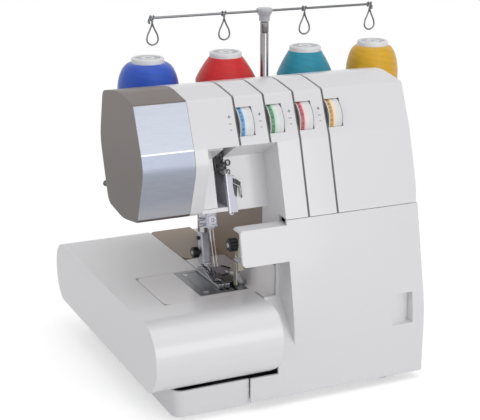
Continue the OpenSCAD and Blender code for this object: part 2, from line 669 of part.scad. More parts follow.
module antenna_bar() {
    half = bar_len / 2 - 5;
    color([0.7, 0.7, 0.72]) place() translate([antenna_x, spool_y, 0]) {
        rod_x(-half, half, 0, bar_z, bar_r);
        for (m = [0, 1]) mirror([m, 0, 0]) translate([half, 0, bar_z - 4]) {
            rotate([90, 0, 0]) rotate_extrude(angle = 90) translate([4, 0]) circle(bar_r, $fn = 24);
            rod_up(4, 0, -2, 0, bar_r);
        }
    }
}
module thread_eyelets() {
    loop_r = 5.6;
    loop_z = bar_z - 21;
    color([0.72, 0.72, 0.74]) place() for (x = eyelet_x) translate([antenna_x + x, spool_y, 0]) {
        difference() {
            rod_x(-2, 2, 0, bar_z, bar_r + 1.3);
            rod_x(-3, 3, 0, bar_z, bar_r + 0.02);
        }
        rod_up(0, 0, loop_z + loop_r, bar_z - bar_r - 0.6, wire_r);
        translate([0, 0, loop_z]) rotate([90, 0, 0]) ring(loop_r, wire_r);
    }
}

// Tension units: dials that stand out of the facet, on one spindle held by the frame
module dial(i) {
    translate([dial_x(i), dial_y, dial_z]) rotate([0, 90, 0]) difference() {
        rotate_extrude($fn = 72) polygon([[0, 0], [dial_r - 1, 0], [dial_r, 1], [dial_r, dial_w - 1],
            [dial_r - 1, dial_w], [0, dial_w]]);
        translate([0, 0, -1]) cylinder(dial_w + 2, r = spindle_r + fit);
        translate([0, 0, dial_w - 3]) difference() {
            cylinder(4, r = dial_r - 3);
            cylinder(4, r = spindle_r + 3);
        }
    }
}
module tension_dial_1() { color([0.35, 0.5, 0.85]) place() dial(0); }
module tension_dial_2() { color([0.35, 0.75, 0.45]) place() dial(1); }
module tension_dial_3() { color([0.85, 0.35, 0.35]) place() dial(2); }
module tension_dial_4() { color([0.82, 0.72, 0.6]) place() dial(3); }
module tension_discs() {
    color([0.78, 0.78, 0.8]) place() {
        rod_x(dial_x(0) - 9, dial_x(3) + dial_w + 5, dial_y, dial_z, spindle_r);
        for (i = [0:3]) {
            x = dial_x(i) - seam;
            rod_x(x - 0.9, x, dial_y, dial_z, 9);
            rod_x(x - 2.1, x - 1.2, dial_y, dial_z, 9);
            rod_x(x - 1.3, x - 0.8, dial_y, dial_z, 4);
            rod_x(x - 5.5, x - 2, dial_y, dial_z, 6);
        }
        rod_x(dial_x(3) + dial_w + seam, dial_x(3) + dial_w + 5, dial_y, dial_z, 5);
    }
}

// Needle bar and presser bar
clamp_s = 55.5;
clamp_h = 14;
module needle_bar() {
    color([0.8, 0.8, 0.82]) place() on_needle(clamp_s + 4) cylinder(67, r = needle_bar_r);
}
module needle_clamp() {
    color([0.78, 0.78, 0.8]) place() on_needle(clamp_s) difference() {
        union() {
            along_z(0, clamp_h, rect(-6.5, -5, 6.5, 5, 1.5));
            for (s = [3.5, 9]) rod_x(-12.5, -6.4, 0, s, 1.8);
        }
        translate([0, 0, 4]) cylinder(clamp_h, r = needle_bar_r + 0.02);
        for (x = [-0.5, 0.5]) translate([x * needle_gap, 0, -1]) cylinder(4.6, r = 1.02);
    }
}
module needles() {
    color([0.86, 0.86, 0.88]) place() for (x = [-0.5, 0.5]) on_needle(0) translate([x * needle_gap, 0, 0])
        rotate_extrude($fn = 24) polygon([[0, 15.2], [0.25, 17], [0.5, 20], [0.5, 40], [1, 43],
            [1, clamp_s + 3.5], [0, clamp_s + 3.5]]);
}
presser_s0 = 13.6;
presser_s1 = 168;
collar_s = 115.3;
spigot_s = 150;
spigot_r = presser_r - 1.1;
module presser_bar() {
    color([0.8, 0.8, 0.82]) place() {
        on_presser(presser_s0) cylinder(spigot_s - presser_s0, r = presser_r);
        on_presser(spigot_s - eps) cylinder(presser_s1 - spigot_s, r = spigot_r);
        on_presser(collar_s) cylinder(10, r = presser_r + 0.8);
        on_presser(collar_s) box([-4, 0, 2.2], [4, 13.5, 5.8]);
    }
}
module presser_foot() {
    x0 = needle_x - foot_w / 2;
    x1 = needle_x + foot_w / 2;
    color([0.62, 0.62, 0.64]) place() difference() {
        union() {
            along_x(x0, x1, [[64, 103.5, 0], [66.5, bed_z + seam, 2], [64 + foot_len, bed_z + seam, 1],
                [64 + foot_len, bed_z + 2.8, 1], [67, bed_z + 2.8, 1], [64.6, 104, 0]]);
            along_x(x0, x0 + 2, [[84, bed_z + 2, 0], [122, bed_z + 2, 0], [119, bed_z + 8, 3],
                [104, bed_z + 10, 3], [88, bed_z + 4, 3]]);
            box([needle_x - 3.4, 105, bed_z + 2.5], [needle_x + 3.4, 118, 113]);
            on_presser(12) along_z(0, 31, rect(-5, -5.5, 5, 5.5, 1.5));
        }
        on_presser(presser_s0 - eps) cylinder(40, r = presser_r + 0.02);
        box([needle_x - needle_gap / 2 - 1.6, 74, bed_z - 1],
            [needle_x + needle_gap / 2 + 1.6, 88, bed_z + 5]);
        for (s = [23.7, 37.8]) on_presser(s) rod_x(-6, -2, 0, 0, 1.52);
    }
}
module foot_screws() {
    color([0.14, 0.14, 0.15]) place() {
        on_presser(23.7) {
            rod_x(-presser_r - 2, -presser_r - 0.02, 0, 0, 1.5);
            rod_x(-13, -5.02, 0, 0, 2.6);
            rod_x(-13.5, -7, 0, 0, 5.5);
        }
        on_presser(37.8) {
            rod_x(-presser_r - 2, -presser_r - 0.02, 0, 0, 1.5);
            rod_x(-7.5, -5.02, 0, 0, 2.4);
        }
    }
}
spring_s = collar_s + 10;
module presser_spring() {
    turns = 6;
    length = 38;
    color([0.7, 0.7, 0.72]) place() on_presser(spring_s + 0.1)
        linear_extrude(length, twist = -360 * turns, slices = turns * 12)
            polygon([for (q = [[6.1, -36], [6.2, 0], [6.1, 36], [4.9, 36], [4.8, 0], [4.9, -36]])
                q[0] * [cos(q[1]), sin(q[1])]]);
}
module pressure_screw() {
    color([0.8, 0.8, 0.82]) place() on_presser(spring_s + 38.2) {
        difference() {
            rod_up(0, 0, 0, 26, 5.6);
            rod_up(0, 0, -1, 14, presser_r + 0.6);
            box([-6, -0.6, 24.6], [6, 0.6, 27]);
        }
        difference() {
            rod_up(0, 0, 0, 1.6, 6.1);
            rod_up(0, 0, -1, 3, presser_r + 0.6);
        }
    }
}
module presser_lifter() {
    lobe = [6.5 * sin(70), 6.5 * cos(70)];
    color([0.3, 0.3, 0.31]) place() translate([0, lift_y, lift_z]) {
        rod_x(needle_x - 6, needle_x + 6, 0, 0, 3.9);
        rod_x(needle_x + 5, web_x + web_t, 0, 0, lift_pin_r);
        along_x(needle_x - 5, needle_x + 5, [[-1, -2, 0], [1, -3, 0], [lobe[0] + 1.2, lobe[1] - 1.7, 0],
            [lobe[0] + 1.9, lobe[1] + 0.3, 0], [lobe[0], lobe[1] + 1.9, 1], [0, 3.2, 0]]);
        rotate([-75, 0, 0]) along_x(needle_x - 4, needle_x + 4, [[0, -2, 0], [24, -2, 0], [29.5, -4, 2],
            [32.5, 0, 2], [29.5, 4, 2], [24, 2, 0], [0, 2, 0]]);
    }
}
module take_up_lever() {
    tip = [66, 232];
    color([0.12, 0.12, 0.13]) place() {
        rod_x(finger_x - 0.3, finger_x + 5.7, lever_y, lever_z, 5);
        rod_x(finger_x + 5, web_x + web_t, lever_y, lever_z, lever_pin_r);
        for (x = [finger_x, finger_x + 3.2]) difference() {
            along_x(x, x + 2.2, [[tip[0] - 3, tip[1] - 2.5, 1.5], [tip[0] + 3, tip[1] - 3, 1],
                [lever_y, lever_z - 4, 0], [lever_y, lever_z + 4, 0], [tip[0] - 2, tip[1] + 2.5, 1.5]]);
            rod_x(x - 1, x + 4, tip[0], tip[1], 1);
        }
    }
}

// Guides and the bright plate in the threading recess
plate_sheet = 1.3;
flange_x1 = recess_x0 + channel_w + 8.5;
function wall_y(z) = block_room[2][0] + (z - block_room[2][1])
    * (block_room[3][0] - block_room[2][0]) / (block_room[3][1] - block_room[2][1]);
function channel_y(z) = channel_room[1][0] + (z - channel_room[1][1])
    * (channel_room[2][0] - channel_room[1][0]) / (channel_room[2][1] - channel_room[1][1]);
module thread_guides() {
    d = plate_sheet + 0.25;
    color([0.2, 0.2, 0.21]) place() {
        translate([75, 61, 222]) rotate([90, 0, 0]) ring(4, 0.8);
        rod_y(79, 61, wall_y(222) - 0.1, 222, 0.8);
        translate([64, 76, 206]) rotate([90, 0, 0]) ring(4, 0.8);
        rod_y(64, 76, channel_y(210) - 0.1, 210, 0.8);
        along_x(82.5, 89, [[wall_y(193) - d - 3, 193, 1], [wall_y(193) - d, 193, 0],
            [wall_y(210) - d, 210, 0], [wall_y(210) - d - 3, 210, 1]]);
        rod_x(89 - eps, 93, wall_y(194.5) - d - 1.2, 194.5, 0.7);
    }
}
module thread_plate() {
    x1 = recess_x0 + channel_w;
    color([0.82, 0.82, 0.86]) place() {
        along_x(x1 - plate_sheet - 0.1, x1 - 0.1, [[wall_y(184.3) - 1.5, 184.3, 0],
            [wall_y(212) - 1.5, 212, 2], [82, 212, 0], [77, 184.3, 0]]);
        along_x(x1 - 0.2, flange_x1, [[wall_y(179) - plate_sheet - 0.2, 179, 0], [wall_y(179) - 0.2, 179, 0],
            [wall_y(212) - 0.2, 212, 0], [wall_y(212) - plate_sheet - 0.2, 212, 0]]);
    }
}

// Loopers, feed and knives
module upper_looper() {
    color([0.85, 0.85, 0.87]) place() {
        on_looper_rod(-12) cylinder(36, r = looper_rod_r);
        along_y(70.2, 73.8, [[97.5, 84.3, 0], [98, looper_foot_z, 0], [103.2, looper_foot_z, 0], [102, 90, 4], [100.5, 103, 8],
            [94.5, 112, 7], [84.3, 114.2, 0], [84, 113, 0], [92, 109, 6], [96.5, 101, 8]]);
    }
}
module lower_looper() {
    color([0.84, 0.84, 0.86]) place() {
        rod_y(looper_pin[0], looper_y + 3, 99, looper_pin[1], looper_pin_r);
        along_y(looper_y, looper_y + 3.3, [[107, 45, 3], [116, 44, 4], [116, 54, 4], [104.5, 73, 8],
            [99, 88, 6], [90, 92.3, 0], [89.6, 91.4, 0], [95, 86, 5], [99, 70, 8], [107, 54, 4]]);
    }
}
feed_z = 80;
feed_travel = 4;
module feed_dog() {
    color([0.8, 0.8, 0.82]) place() {
        box([73.5, 86, feed_z], [85, arm_y1 - wall - feed_travel - 1, feed_z + 4.3]);
        for (x = [74.9, 81.1]) box([x, 87, feed_z + 4.3 - eps], [x + 2, 110, bed_z - 0.5]);
    }
}
module upper_knife() {
    color([0.75, 0.75, 0.77]) place() {
        along_x(88, 89.4, [[58, 103, 0], [64, 101.5, 0], [64, 126, 0], [58, 126, 0]]);
        box([89.3, 56, 118], [95, 64, 150]);
        rod_x(88.8, 89.31, 60, 144, 4);
    }
}
module knife_knob() {
    color([0.12, 0.12, 0.13]) place() rod_x(80.5, 88.8, 60, 144, 6.5);
}
module lower_knife() {
    color([0.8, 0.8, 0.82]) place() box([86.5, 58.5, 78], [87.7, 66, bed_z - 0.3]);
}

// Drive
length_dial_y = base_d - 87;
length_dial_z = 130;
switch_y = base_d - 62;
switch_z = 60;
switch_pin = [belt_x - 6, switch_z];
switch_pin_r = 1.5;
inlet_y = base_d - 27;
inlet_z = 60;
pulley_x0 = base_w + 2;
pulley_x1 = base_w + 12;
belt_t = 3;
module main_shaft() {
    color([0.72, 0.72, 0.74]) place() {
        rod_x(98, wheel_x + wheel_w - 1, shaft_y, shaft_z, shaft_r);
        rod_x(103, 109, shaft_y, shaft_z, 6.6);
        rod_x(150, 158, shaft_y, shaft_z, 16);
        rod_x(168, 175, shaft_y + 4, shaft_z, 12);
    }
}
module shaft_bushes() {
    color([0.7, 0.52, 0.25]) place() for (x = [frame_x0, frame_x1]) difference() {
        rod_x(x - 1, x + frame_t + 1, shaft_y, shaft_z, bush_r);
        rod_x(x - 2, x + frame_t + 2, shaft_y, shaft_z, shaft_r + fit);
    }
}
module pulley(y, r, bore) {
    translate([pulley_x0, y, shaft_z]) rotate([0, 90, 0]) difference() {
        cylinder(pulley_x1 - pulley_x0, r = r);
        translate([0, 0, 1.2]) difference() {
            cylinder(pulley_x1 - pulley_x0 - 2.4, r = r + 1);
            translate([0, 0, -1]) cylinder(pulley_x1 - pulley_x0, r = r - belt_t);
        }
        translate([0, 0, -1]) cylinder(pulley_x1, r = bore);
    }
}
module shaft_pulley() { color([0.3, 0.3, 0.32]) place() pulley(shaft_y, big_pulley_r, shaft_r + 0.02); }
module handwheel() {
    color([0.9, 0.9, 0.91]) place() translate([wheel_x, shaft_y, shaft_z]) rotate([0, 90, 0]) difference() {
        rotate_extrude($fn = 72) polygon([[0, -5], [11, -5], [11, 0], [wheel_r - 2, 0], [wheel_r, 2],
            [wheel_r, wheel_w - 3], [wheel_r - 3, wheel_w], [wheel_r - 8, wheel_w],
            [wheel_r - 10, wheel_w - 4], [12, wheel_w - 4], [11, wheel_w], [0, wheel_w]]);
        translate([0, 0, -6]) cylinder(wheel_w + 5.05, r = shaft_r + 0.02);
    }
}
module motor() {
    x1 = frame_x1;
    color([0.25, 0.25, 0.27]) place() difference() {
        union() {
            rod_x(x1 - motor_len, x1, motor_y, shaft_z, motor_r);
            rod_x(x1 - motor_len - 8, x1 - motor_len + eps, motor_y, shaft_z, 10);
            for (x = [x1 - motor_len + 8, x1 - 20])
                box([x, motor_y - 14, floor_z + 4], [x + 10, motor_y + 14, 46]);
        }
        rod_x(x1 - 6, x1 + 1, motor_y, shaft_z, 4 + fit);
        for (a = [0:30:330]) translate([x1 - motor_len + 30, motor_y, shaft_z]) rotate([a, 0, 0])
            box([0, -1.2, motor_r - 3], [22, 1.2, motor_r + 1]);
    }
}
module motor_pulley() {
    color([0.5, 0.5, 0.52]) place() {
        pulley(motor_y, small_pulley_r, 4);
        rod_x(frame_x1 - 5.7, pulley_x1 + 1, motor_y, shaft_z, 4);
    }
}
module belt_loop(t) {
    hull() {
        translate([shaft_y, shaft_z]) circle(big_pulley_r - belt_t + t, $fn = 72);
        translate([motor_y, shaft_z]) circle(small_pulley_r - belt_t + t, $fn = 36);
    }
}
module drive_belt() {
    color([0.12, 0.12, 0.12]) place() translate([pulley_x0 + 1.5, 0, 0]) rotate([90, 0, 90])
        linear_extrude(pulley_x1 - pulley_x0 - 3) difference() {
            belt_loop(0.3 + belt_t);
            belt_loop(0.3);
        }
}
module stitch_length_dial() {
    color([0.88, 0.88, 0.9]) place() translate([belt_x + seam, length_dial_y, length_dial_z])
    rotate([0, 90, 0]) {
        difference() {
            cylinder(10, r = 14);
            for (a = [0:15:345]) rotate(a) translate([14.6, 0, -1]) cylinder(12, r = 1.1, $fn = 12);
        }
        translate([0, 0, -9]) cylinder(9.1, r = 5);
        translate([0, 0, -9]) cylinder(3, r = 8);
    }
}
module power_switch() {
    color([0.12, 0.12, 0.13]) place() {
        translate([switch_pin[0], 0, switch_z]) along_y(switch_y - 5.8, switch_y + 5.8, [[-4, -6, 1],
            [8.5, -8.2, 1], [7, 0, 0], [5.2, 9, 1], [-4, 6, 1]]);
        rod_y(switch_pin[0], switch_y - 8.4, switch_y + 8.4, switch_z, switch_pin_r);
    }
}
module power_inlet() {
    color([0.1, 0.1, 0.11]) place() difference() {
        union() {
            box([belt_x - 18, inlet_y - 12.3, inlet_z - 9.3], [belt_x + 1, inlet_y + 12.3, inlet_z + 9.3]);
            box([belt_x, inlet_y - 15, inlet_z - 12], [belt_x + 1.8, inlet_y + 15, inlet_z + 12]);
        }
        box([belt_x - 14, inlet_y - 10, inlet_z - 7], [belt_x + 3, inlet_y + 10, inlet_z + 7]);
        for (y = [-10, 0, 10]) rod_x(belt_x - 19, belt_x - 17, inlet_y + y * 0.5, inlet_z, 1);
    }
}

// Extension table: a C around the free arm
module table_solid(t) {
    outline = [[-roll_y, table_z0, 35], [table_y1, table_z0, 31], [table_y1, bed_z, 28], [50, bed_z, 60],
        [-roll_y, bed_z + roll_crown + 1.5, 35]];
    x0 = -table_overhang + t;
    cut_x = arm_x0 - arm_gap - t;
    cut_y0 = arm_y0 - arm_gap - t;
    cut_y1 = arm_y1 + arm_gap + t;
    intersection() {
        along_x(x0, roll_x1 - t, inset(outline, t));
        union() {
            along_z(0, big, [[x0, -40, 0], [cut_x, -40, 0], [cut_x, table_y1 + 9, 0], [x0, table_y1 + 9, 0]]);
            intersection() {
                box([x0, -40, 0], [roll_x1 - t, cut_y0, big]);
                along_y(-40, cut_y0, [[x0, table_z0 + t, 0], [roll_x1 - t, table_z0 + t, 17 - t],
                    [roll_x1 - t, bed_z + 5 - t, 9 - t], [x0, bed_z + 5 - t, 0]]);
            }
            box([x0, cut_y1, 0], [table_x1 - t, table_y1 + 9, big]);
        }
        along_y(-50, table_y1 + 9, [[x0, table_z0 + t - 1, 5], [big, table_z0 + t - 1, 0], [big, 110, 0],
            [x0, 110, 0]]);
    }
}
module extension_table() {
    color([0.86, 0.84, 0.83]) place() difference() {
        table_solid(0);
        table_solid(wall);
        box([-table_overhang + 12, 20, table_z0 - 1], [arm_x0 - 6, 250, table_z0 + wall + 1]);
        box([-table_overhang + 12, 18, table_z0 - 1], [roll_x1 - 20, 40, table_z0 + wall + 1]);
        box([-table_overhang + 12, 136, table_z0 - 1], [table_x1 - 8, 250, table_z0 + wall + 1]);
    }
}

// Looper cover: front panel with the nose, the chip scoop and the finger recess
grip_w = 23;
grip_x = base_w - 13 - grip_w;
grip_z = 61;
grip_h = 31;
module looper_cover() {
    right = base_w - seam;
    scoop_x = arm_root_x - 0.5;
    face = [[skirt_w + seam, door_z0, 0], [right, door_z0, 0], [right, seam_z - seam, 0],
        [120, seam_z - seam, 0], [120, scoop_z, 0], [scoop_x, scoop_z, 0],
        [scoop_x, 33, 0], [skirt_w + seam, 33, 0]];
    nose = [[nose_x, nose_z, 4], [160, nose_z, 0], [160, nose_top, 0], [nose_x, nose_top, 3]];
    scoop_side = [[front_bend[0] + 0.5, scoop_z, 0], [scoop_y + wall, 96, 6], [scoop_y + wall, nose_z, 0],
        [-20, nose_z, 0], [-20, scoop_z, 0]];
    color([0.91, 0.91, 0.92]) place() difference() {
        union() {
            difference() {
                intersection() {
                    along_x(70, right, behind_front(0));
                    union() {
                        along_y(-30, 60, face);
                        intersection() { along_y(-30, 60, nose); box([0, -40, 0], [120 + eps, 40, big]); }
                    }
                }
                along_x(69, right + 1, behind_front(wall));
            }
            intersection() {
                along_x(70, right, behind_front(0));
                box([70, -20, door_z0], [right, 30.2, seam_z - seam]);
                union() {
                    difference() {
                        intersection() {
                            along_y(-20, 40, nose);
                            box([0, -20, 0], [120 + wall, 31, big]);
                        }
                        along_y(-21, 41, inset(nose, wall));
                    }
                    difference() {
                        along_x(right - wall, right, behind_front(0));
                        along_x(right - wall - 1, right + 1, behind_front(11.4));
                    }
                    along_x(120, 120 + wall, scoop_side);
                    difference() {
                        along_x(86, 120 + eps, scoop_side);
                        along_x(85, 121, [[front_bend[0] - 2.6, scoop_z, 0], [scoop_y, 97, 4],
                            [scoop_y, nose_z + 1, 0], [-30, nose_z + 1, 0], [-30, scoop_z, 0]]);
                        box([85, -20, 0], [scoop_x, 40, nose_z + 1]);
                        box([85, 12, bed_z + seam], [116, 40, nose_z + 1]);
                    }
                }
            }
            for (x = [lug_x0 + 12, base_w - 40]) difference() {
                union() {
                    rod_x(x, x + 4, rod_y, rod_z, rod_r + 1.5);
                    box([x, front_foot[0] + wall - eps, rod_z - 3], [x + 4, rod_y, rod_z + 3]);
                }
                rod_x(x - 1, x + 5, rod_y, rod_z, rod_r + fit);
            }
            intersection() {
                box([grip_x - wall, -10, grip_z - wall], [grip_x + grip_w + wall, 8.5, grip_z + grip_h + wall]);
                along_x(grip_x - 6, grip_x + grip_w + 6, behind_front(0.5));
            }
        }
        along_z(grip_z, grip_z + grip_h, [[grip_x, -20, 0], [grip_x + grip_w, -20, 0], [grip_x + grip_w, 6, 0],
            [grip_x, -3, 0]]);
        intersection() {
            along_x(nose_x - 1, nose_x + wall + 1, behind_front(wall + 1));
            box([nose_x - 1, -20, nose_z + wall], [nose_x + wall + 1, 40, nose_top - wall]);
        }
    }
}
module looper_cover_rod() { color([0.75, 0.75, 0.77]) place() rod_x(lug_x0 - 10, base_w - 12, rod_y, rod_z, rod_r); }

base_pan();
rubber_feet();
chassis_frame();
free_arm_cover();
needle_plate();
needle_plate_screws();
throat_liner();
rear_cover();
belt_cover();
upper_cover();
head_end_cap();
head_trim();
spool_tray();
spool_pins();
spool_blue();
spool_red();
spool_teal();
spool_gold();
antenna_socket();
antenna_tube();
antenna_rod();
antenna_cap();
antenna_bar();
thread_eyelets();
tension_dial_1();
tension_dial_2();
tension_dial_3();
tension_dial_4();
tension_discs();
needle_bar();
needle_clamp();
needles();
presser_bar();
presser_foot();
foot_screws();
presser_spring();
pressure_screw();
presser_lifter();
take_up_lever();
thread_guides();
thread_plate();
upper_looper();
lower_looper();
feed_dog();
upper_knife();
knife_knob();
lower_knife();
main_shaft();
shaft_bushes();
shaft_pulley();
handwheel();
motor();
motor_pulley();
drive_belt();
stitch_length_dial();
power_switch();
power_inlet();
extension_table();
looper_cover();
looper_cover_rod();
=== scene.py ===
import json
from math import atan2, cos, hypot, pi, radians, sin, tan

import bmesh
import bpy
from mathutils import Matrix, Vector

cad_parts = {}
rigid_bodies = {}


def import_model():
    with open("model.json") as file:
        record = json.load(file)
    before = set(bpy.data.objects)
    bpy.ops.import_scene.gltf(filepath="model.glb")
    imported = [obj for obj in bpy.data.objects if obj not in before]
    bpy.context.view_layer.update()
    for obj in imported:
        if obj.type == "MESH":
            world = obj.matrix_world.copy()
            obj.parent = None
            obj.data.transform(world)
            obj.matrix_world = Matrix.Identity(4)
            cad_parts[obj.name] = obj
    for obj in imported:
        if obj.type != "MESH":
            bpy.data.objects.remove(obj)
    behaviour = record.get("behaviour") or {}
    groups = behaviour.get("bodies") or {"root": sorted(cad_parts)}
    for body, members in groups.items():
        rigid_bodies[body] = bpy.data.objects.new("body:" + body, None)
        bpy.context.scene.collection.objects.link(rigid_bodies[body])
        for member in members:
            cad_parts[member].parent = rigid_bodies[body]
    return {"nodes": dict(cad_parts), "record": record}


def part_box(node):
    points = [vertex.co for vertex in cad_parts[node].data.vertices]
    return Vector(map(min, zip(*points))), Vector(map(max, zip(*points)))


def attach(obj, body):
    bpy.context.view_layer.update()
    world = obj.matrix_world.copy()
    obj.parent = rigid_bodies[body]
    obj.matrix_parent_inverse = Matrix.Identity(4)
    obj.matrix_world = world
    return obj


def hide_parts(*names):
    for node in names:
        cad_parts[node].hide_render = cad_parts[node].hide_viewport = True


mm = 0.001
# the middle of the machine's box, in the millimetres used below
midX, midY = 156.35, 133.65
alongX = (1, 0, 0)

scene = bpy.context.scene
for old in list(bpy.data.objects):
    bpy.data.objects.remove(old)


def added(name, data):
    obj = bpy.data.objects.new(name, data)
    scene.collection.objects.link(obj)
    return obj


cameraSet = {"place": (-383.6, -985.0, 524.9), "lens": 95.2, "sensor": 36, "far": 20, "pitch": 16.83,
             "yaw": 24.52}
lens = bpy.data.cameras.new("camera")
lens.lens, lens.sensor_width, lens.clip_end = cameraSet["lens"], cameraSet["sensor"], cameraSet["far"]
lens.dof.use_dof = False
camera = added("camera", lens)
x, y, z = cameraSet["place"]
camera.location = ((x - midX) * mm, (y - midY) * mm, z * mm)
camera.rotation_euler = (radians(90 - cameraSet["pitch"]), 0, -radians(cameraSet["yaw"]))
scene.camera = camera
scene.view_settings.view_transform = "Standard"

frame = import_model()
nodes, record = frame["nodes"], frame["record"]
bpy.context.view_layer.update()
slotOf = {s["node"]: s["material_slot"] for s in record["subparts"]}
bodyOf = {n: b for b, names in record["behaviour"]["bodies"].items() for n in names}
print("frame loaded")


def at(x, y, z):
    # machine millimetres to the frame's metres
    return Vector(((x - midX) * mm, (y - midY) * mm, z * mm))


def srgb(r, g, b):
    return tuple((c / 255 / 12.92) if c <= 10 else ((c / 255 + 0.055) / 1.055) ** 2.4 for c in (r, g, b))


def filled(tree, kind, inputs, settings):
    # a new node with its settings, its values and its links
    made = tree.nodes.new(kind)
    for name, value in settings.items():
        setattr(made, name, value)
    for name, value in (inputs or {}).items():
        into, value = made.inputs[name], getattr(value, "out", value)
        if isinstance(value, bpy.types.NodeSocket):
            tree.links.new(value, into)
        else:
            into.default_value = value
    return made


class Socket:
    # a shader value that can be added, multiplied and so on

    def __init__(self, shade, out):
        self.shade, self.out = shade, out

    def maths(self, kind, a, b=0.0):
        return self.shade.node("Math", 0, {0: a, 1: b}, operation=kind)

    def __add__(self, other):
        return self.maths("ADD", self, other)

    def __sub__(self, other):
        return self.maths("SUBTRACT", self, other)

    def __mul__(self, other):
        return self.maths("MULTIPLY", self, other)

    def __rsub__(self, other):
        return self.maths("SUBTRACT", other, self)

    __radd__ = __add__
    __rmul__ = __mul__

    def smooth(self, low, high):
        return self.shade.node("MapRange", "Result", {"Value": self, "From Min": low, "From Max": high},
            interpolation_type="SMOOTHSTEP")


class Shade:
    # a material, or the background, and the nodes in it

    def __init__(self, name, world=False):
        self.home = bpy.data.worlds.new(name) if world else bpy.data.materials.new(name)
        self.home.use_nodes = True
        self.tree = self.home.node_tree
        self.tree.nodes.clear()

    def node(self, kind, out=0, inputs=None, **settings):
        made = filled(self.tree, "ShaderNode" + kind, inputs, settings)
        return Socket(self, made.outputs[out]) if made.outputs else made

    def coords(self):
        return self.node("TexCoord", "Object")

    def parts(self):
        split = self.node("SeparateXYZ", 0, {0: self.coords()}).out.node
        return [Socket(self, o) for o in split.outputs]

    def noise(self, scale, detail=3.0, ways=(1, 1, 1)):
        # ways stretches the noise along x, y and z
        where = self.node("VectorMath", 0, {0: self.coords(), 1: ways}, operation="MULTIPLY")
        return self.node("TexNoise", 0, {"Vector": where, "Scale": scale, "Detail": detail, "Roughness": 0.55})

    def darkened(self, factor, colour, dark):
        return self.mix(factor, tuple(c * dark for c in colour), colour)

    def mix(self, factor, a, b):
        full = [v if isinstance(v, Socket) else (*v, 1.0)[:4] for v in (a, b)]
        return self.node("Mix", 2, {0: factor, 6: full[0], 7: full[1]}, data_type="RGBA")

    def bump(self, height, strength, distance):
        return self.node("Bump", 0, {"Height": height, "Strength": strength, "Distance": distance})

    def principled(self, **inputs):
        named = {k.replace("_", " "): v for k, v in inputs.items()}
        for k in ("Base Color", "Emission Color", "Specular Tint"):
            if k in named and not isinstance(named[k], Socket):
                named[k] = (*named[k], 1.0)[:4]
        return self.node("BsdfPrincipled", 0, named)

    def finish(self, surface):
        self.node("OutputMaterial", 0, {0: surface})
        return self.home

    def coated(self, **inputs):
        return self.finish(self.principled(**inputs))


print("helpers ready")

# materials, every one in object coordinates


def plastic(name, colour, rough=0.35, coat=0.0, grain=0.00002):
    m = Shade(name)
    cloud, fine = m.noise(9.0), m.noise(900, 2.0)
    return m.coated(Base_Color=m.darkened(cloud, colour, 0.97), Roughness=rough + (cloud - 0.5) * 0.08,
        Coat_Weight=coat, Coat_Roughness=0.08, Normal=m.bump(fine, 0.35, grain))


def metal(name, colour, rough=0.25, metallic=1.0, lines=(40, 40, 1200), depth=0.00001):
    # brushed or ground metal: long fine noise along one way
    m = Shade(name)
    streak, cloud = m.noise(1.0, 2.0, lines), m.noise(60.0)
    return m.coated(Base_Color=m.darkened(streak, colour, 0.82), Metallic=metallic,
        Roughness=rough + (streak - 0.5) * 0.16 + (cloud - 0.5) * 0.08, Normal=m.bump(streak, 0.3, depth))


def rubberLike(name, colour, rough=0.6):
    m = Shade(name)
    fine, cloud = m.noise(1400), m.noise(40.0)
    return m.coated(Base_Color=m.darkened(cloud, colour, 0.6), Roughness=rough + (cloud - 0.5) * 0.2,
        Normal=m.bump(fine, 0.4, 0.00004))


def capLook():
    # satin taupe, a little lighter towards the top
    m = Shade("taupeCap")
    x, y, z = m.parts()
    cloud, fine = m.noise(7.0), m.noise(900, 2.0)
    colour = m.mix((z + (cloud - 0.5) * 0.02).smooth(0.19, 0.29), srgb(88, 77, 72), srgb(112, 101, 96))
    return m.coated(Base_Color=colour, Roughness=0.42 + (cloud - 0.5) * 0.08, Coat_Weight=0.08, Coat_Roughness=0.2,
        Normal=m.bump(fine, 0.35, 0.00003))


def silverLook():
    # lacquered silver with a grain that runs along the head, darker below the crease, with a painted highlight: a
    # near-white line along the crease
    m = Shade("silver")
    x, y, z = m.parts()
    grain, fleck = m.noise(1.0, 3.0, (60, 900, 900)), m.noise(1800, 1.0)
    tones = (((186, 191, 204), (206, 211, 222)), ((142, 147, 160), (166, 170, 181)),
             ((166, 168, 174), (182, 184, 189)), ((150, 157, 176), (172, 178, 194)))
    upper, lower, foot, crease = (m.mix(grain, srgb(*dark), srgb(*pale)) for dark, pale in tones)
    colour = m.mix(z.smooth(0.215, 0.244), m.mix(z.smooth(0.186, 0.205), foot, lower), crease)
    # painted highlight: a near-white line along the crease, between the crease tone and the upper tone
    colour = m.mix(z.smooth(0.2459, 0.2464), colour, (0.95, 0.95, 0.97))
    colour = m.mix(z.smooth(0.2470, 0.2478), colour, upper)
    return m.coated(Base_Color=colour, Metallic=0.3, Roughness=0.36 + (fleck - 0.5) * 0.2,
        Normal=m.bump(grain + fleck, 0.25, 0.00002))


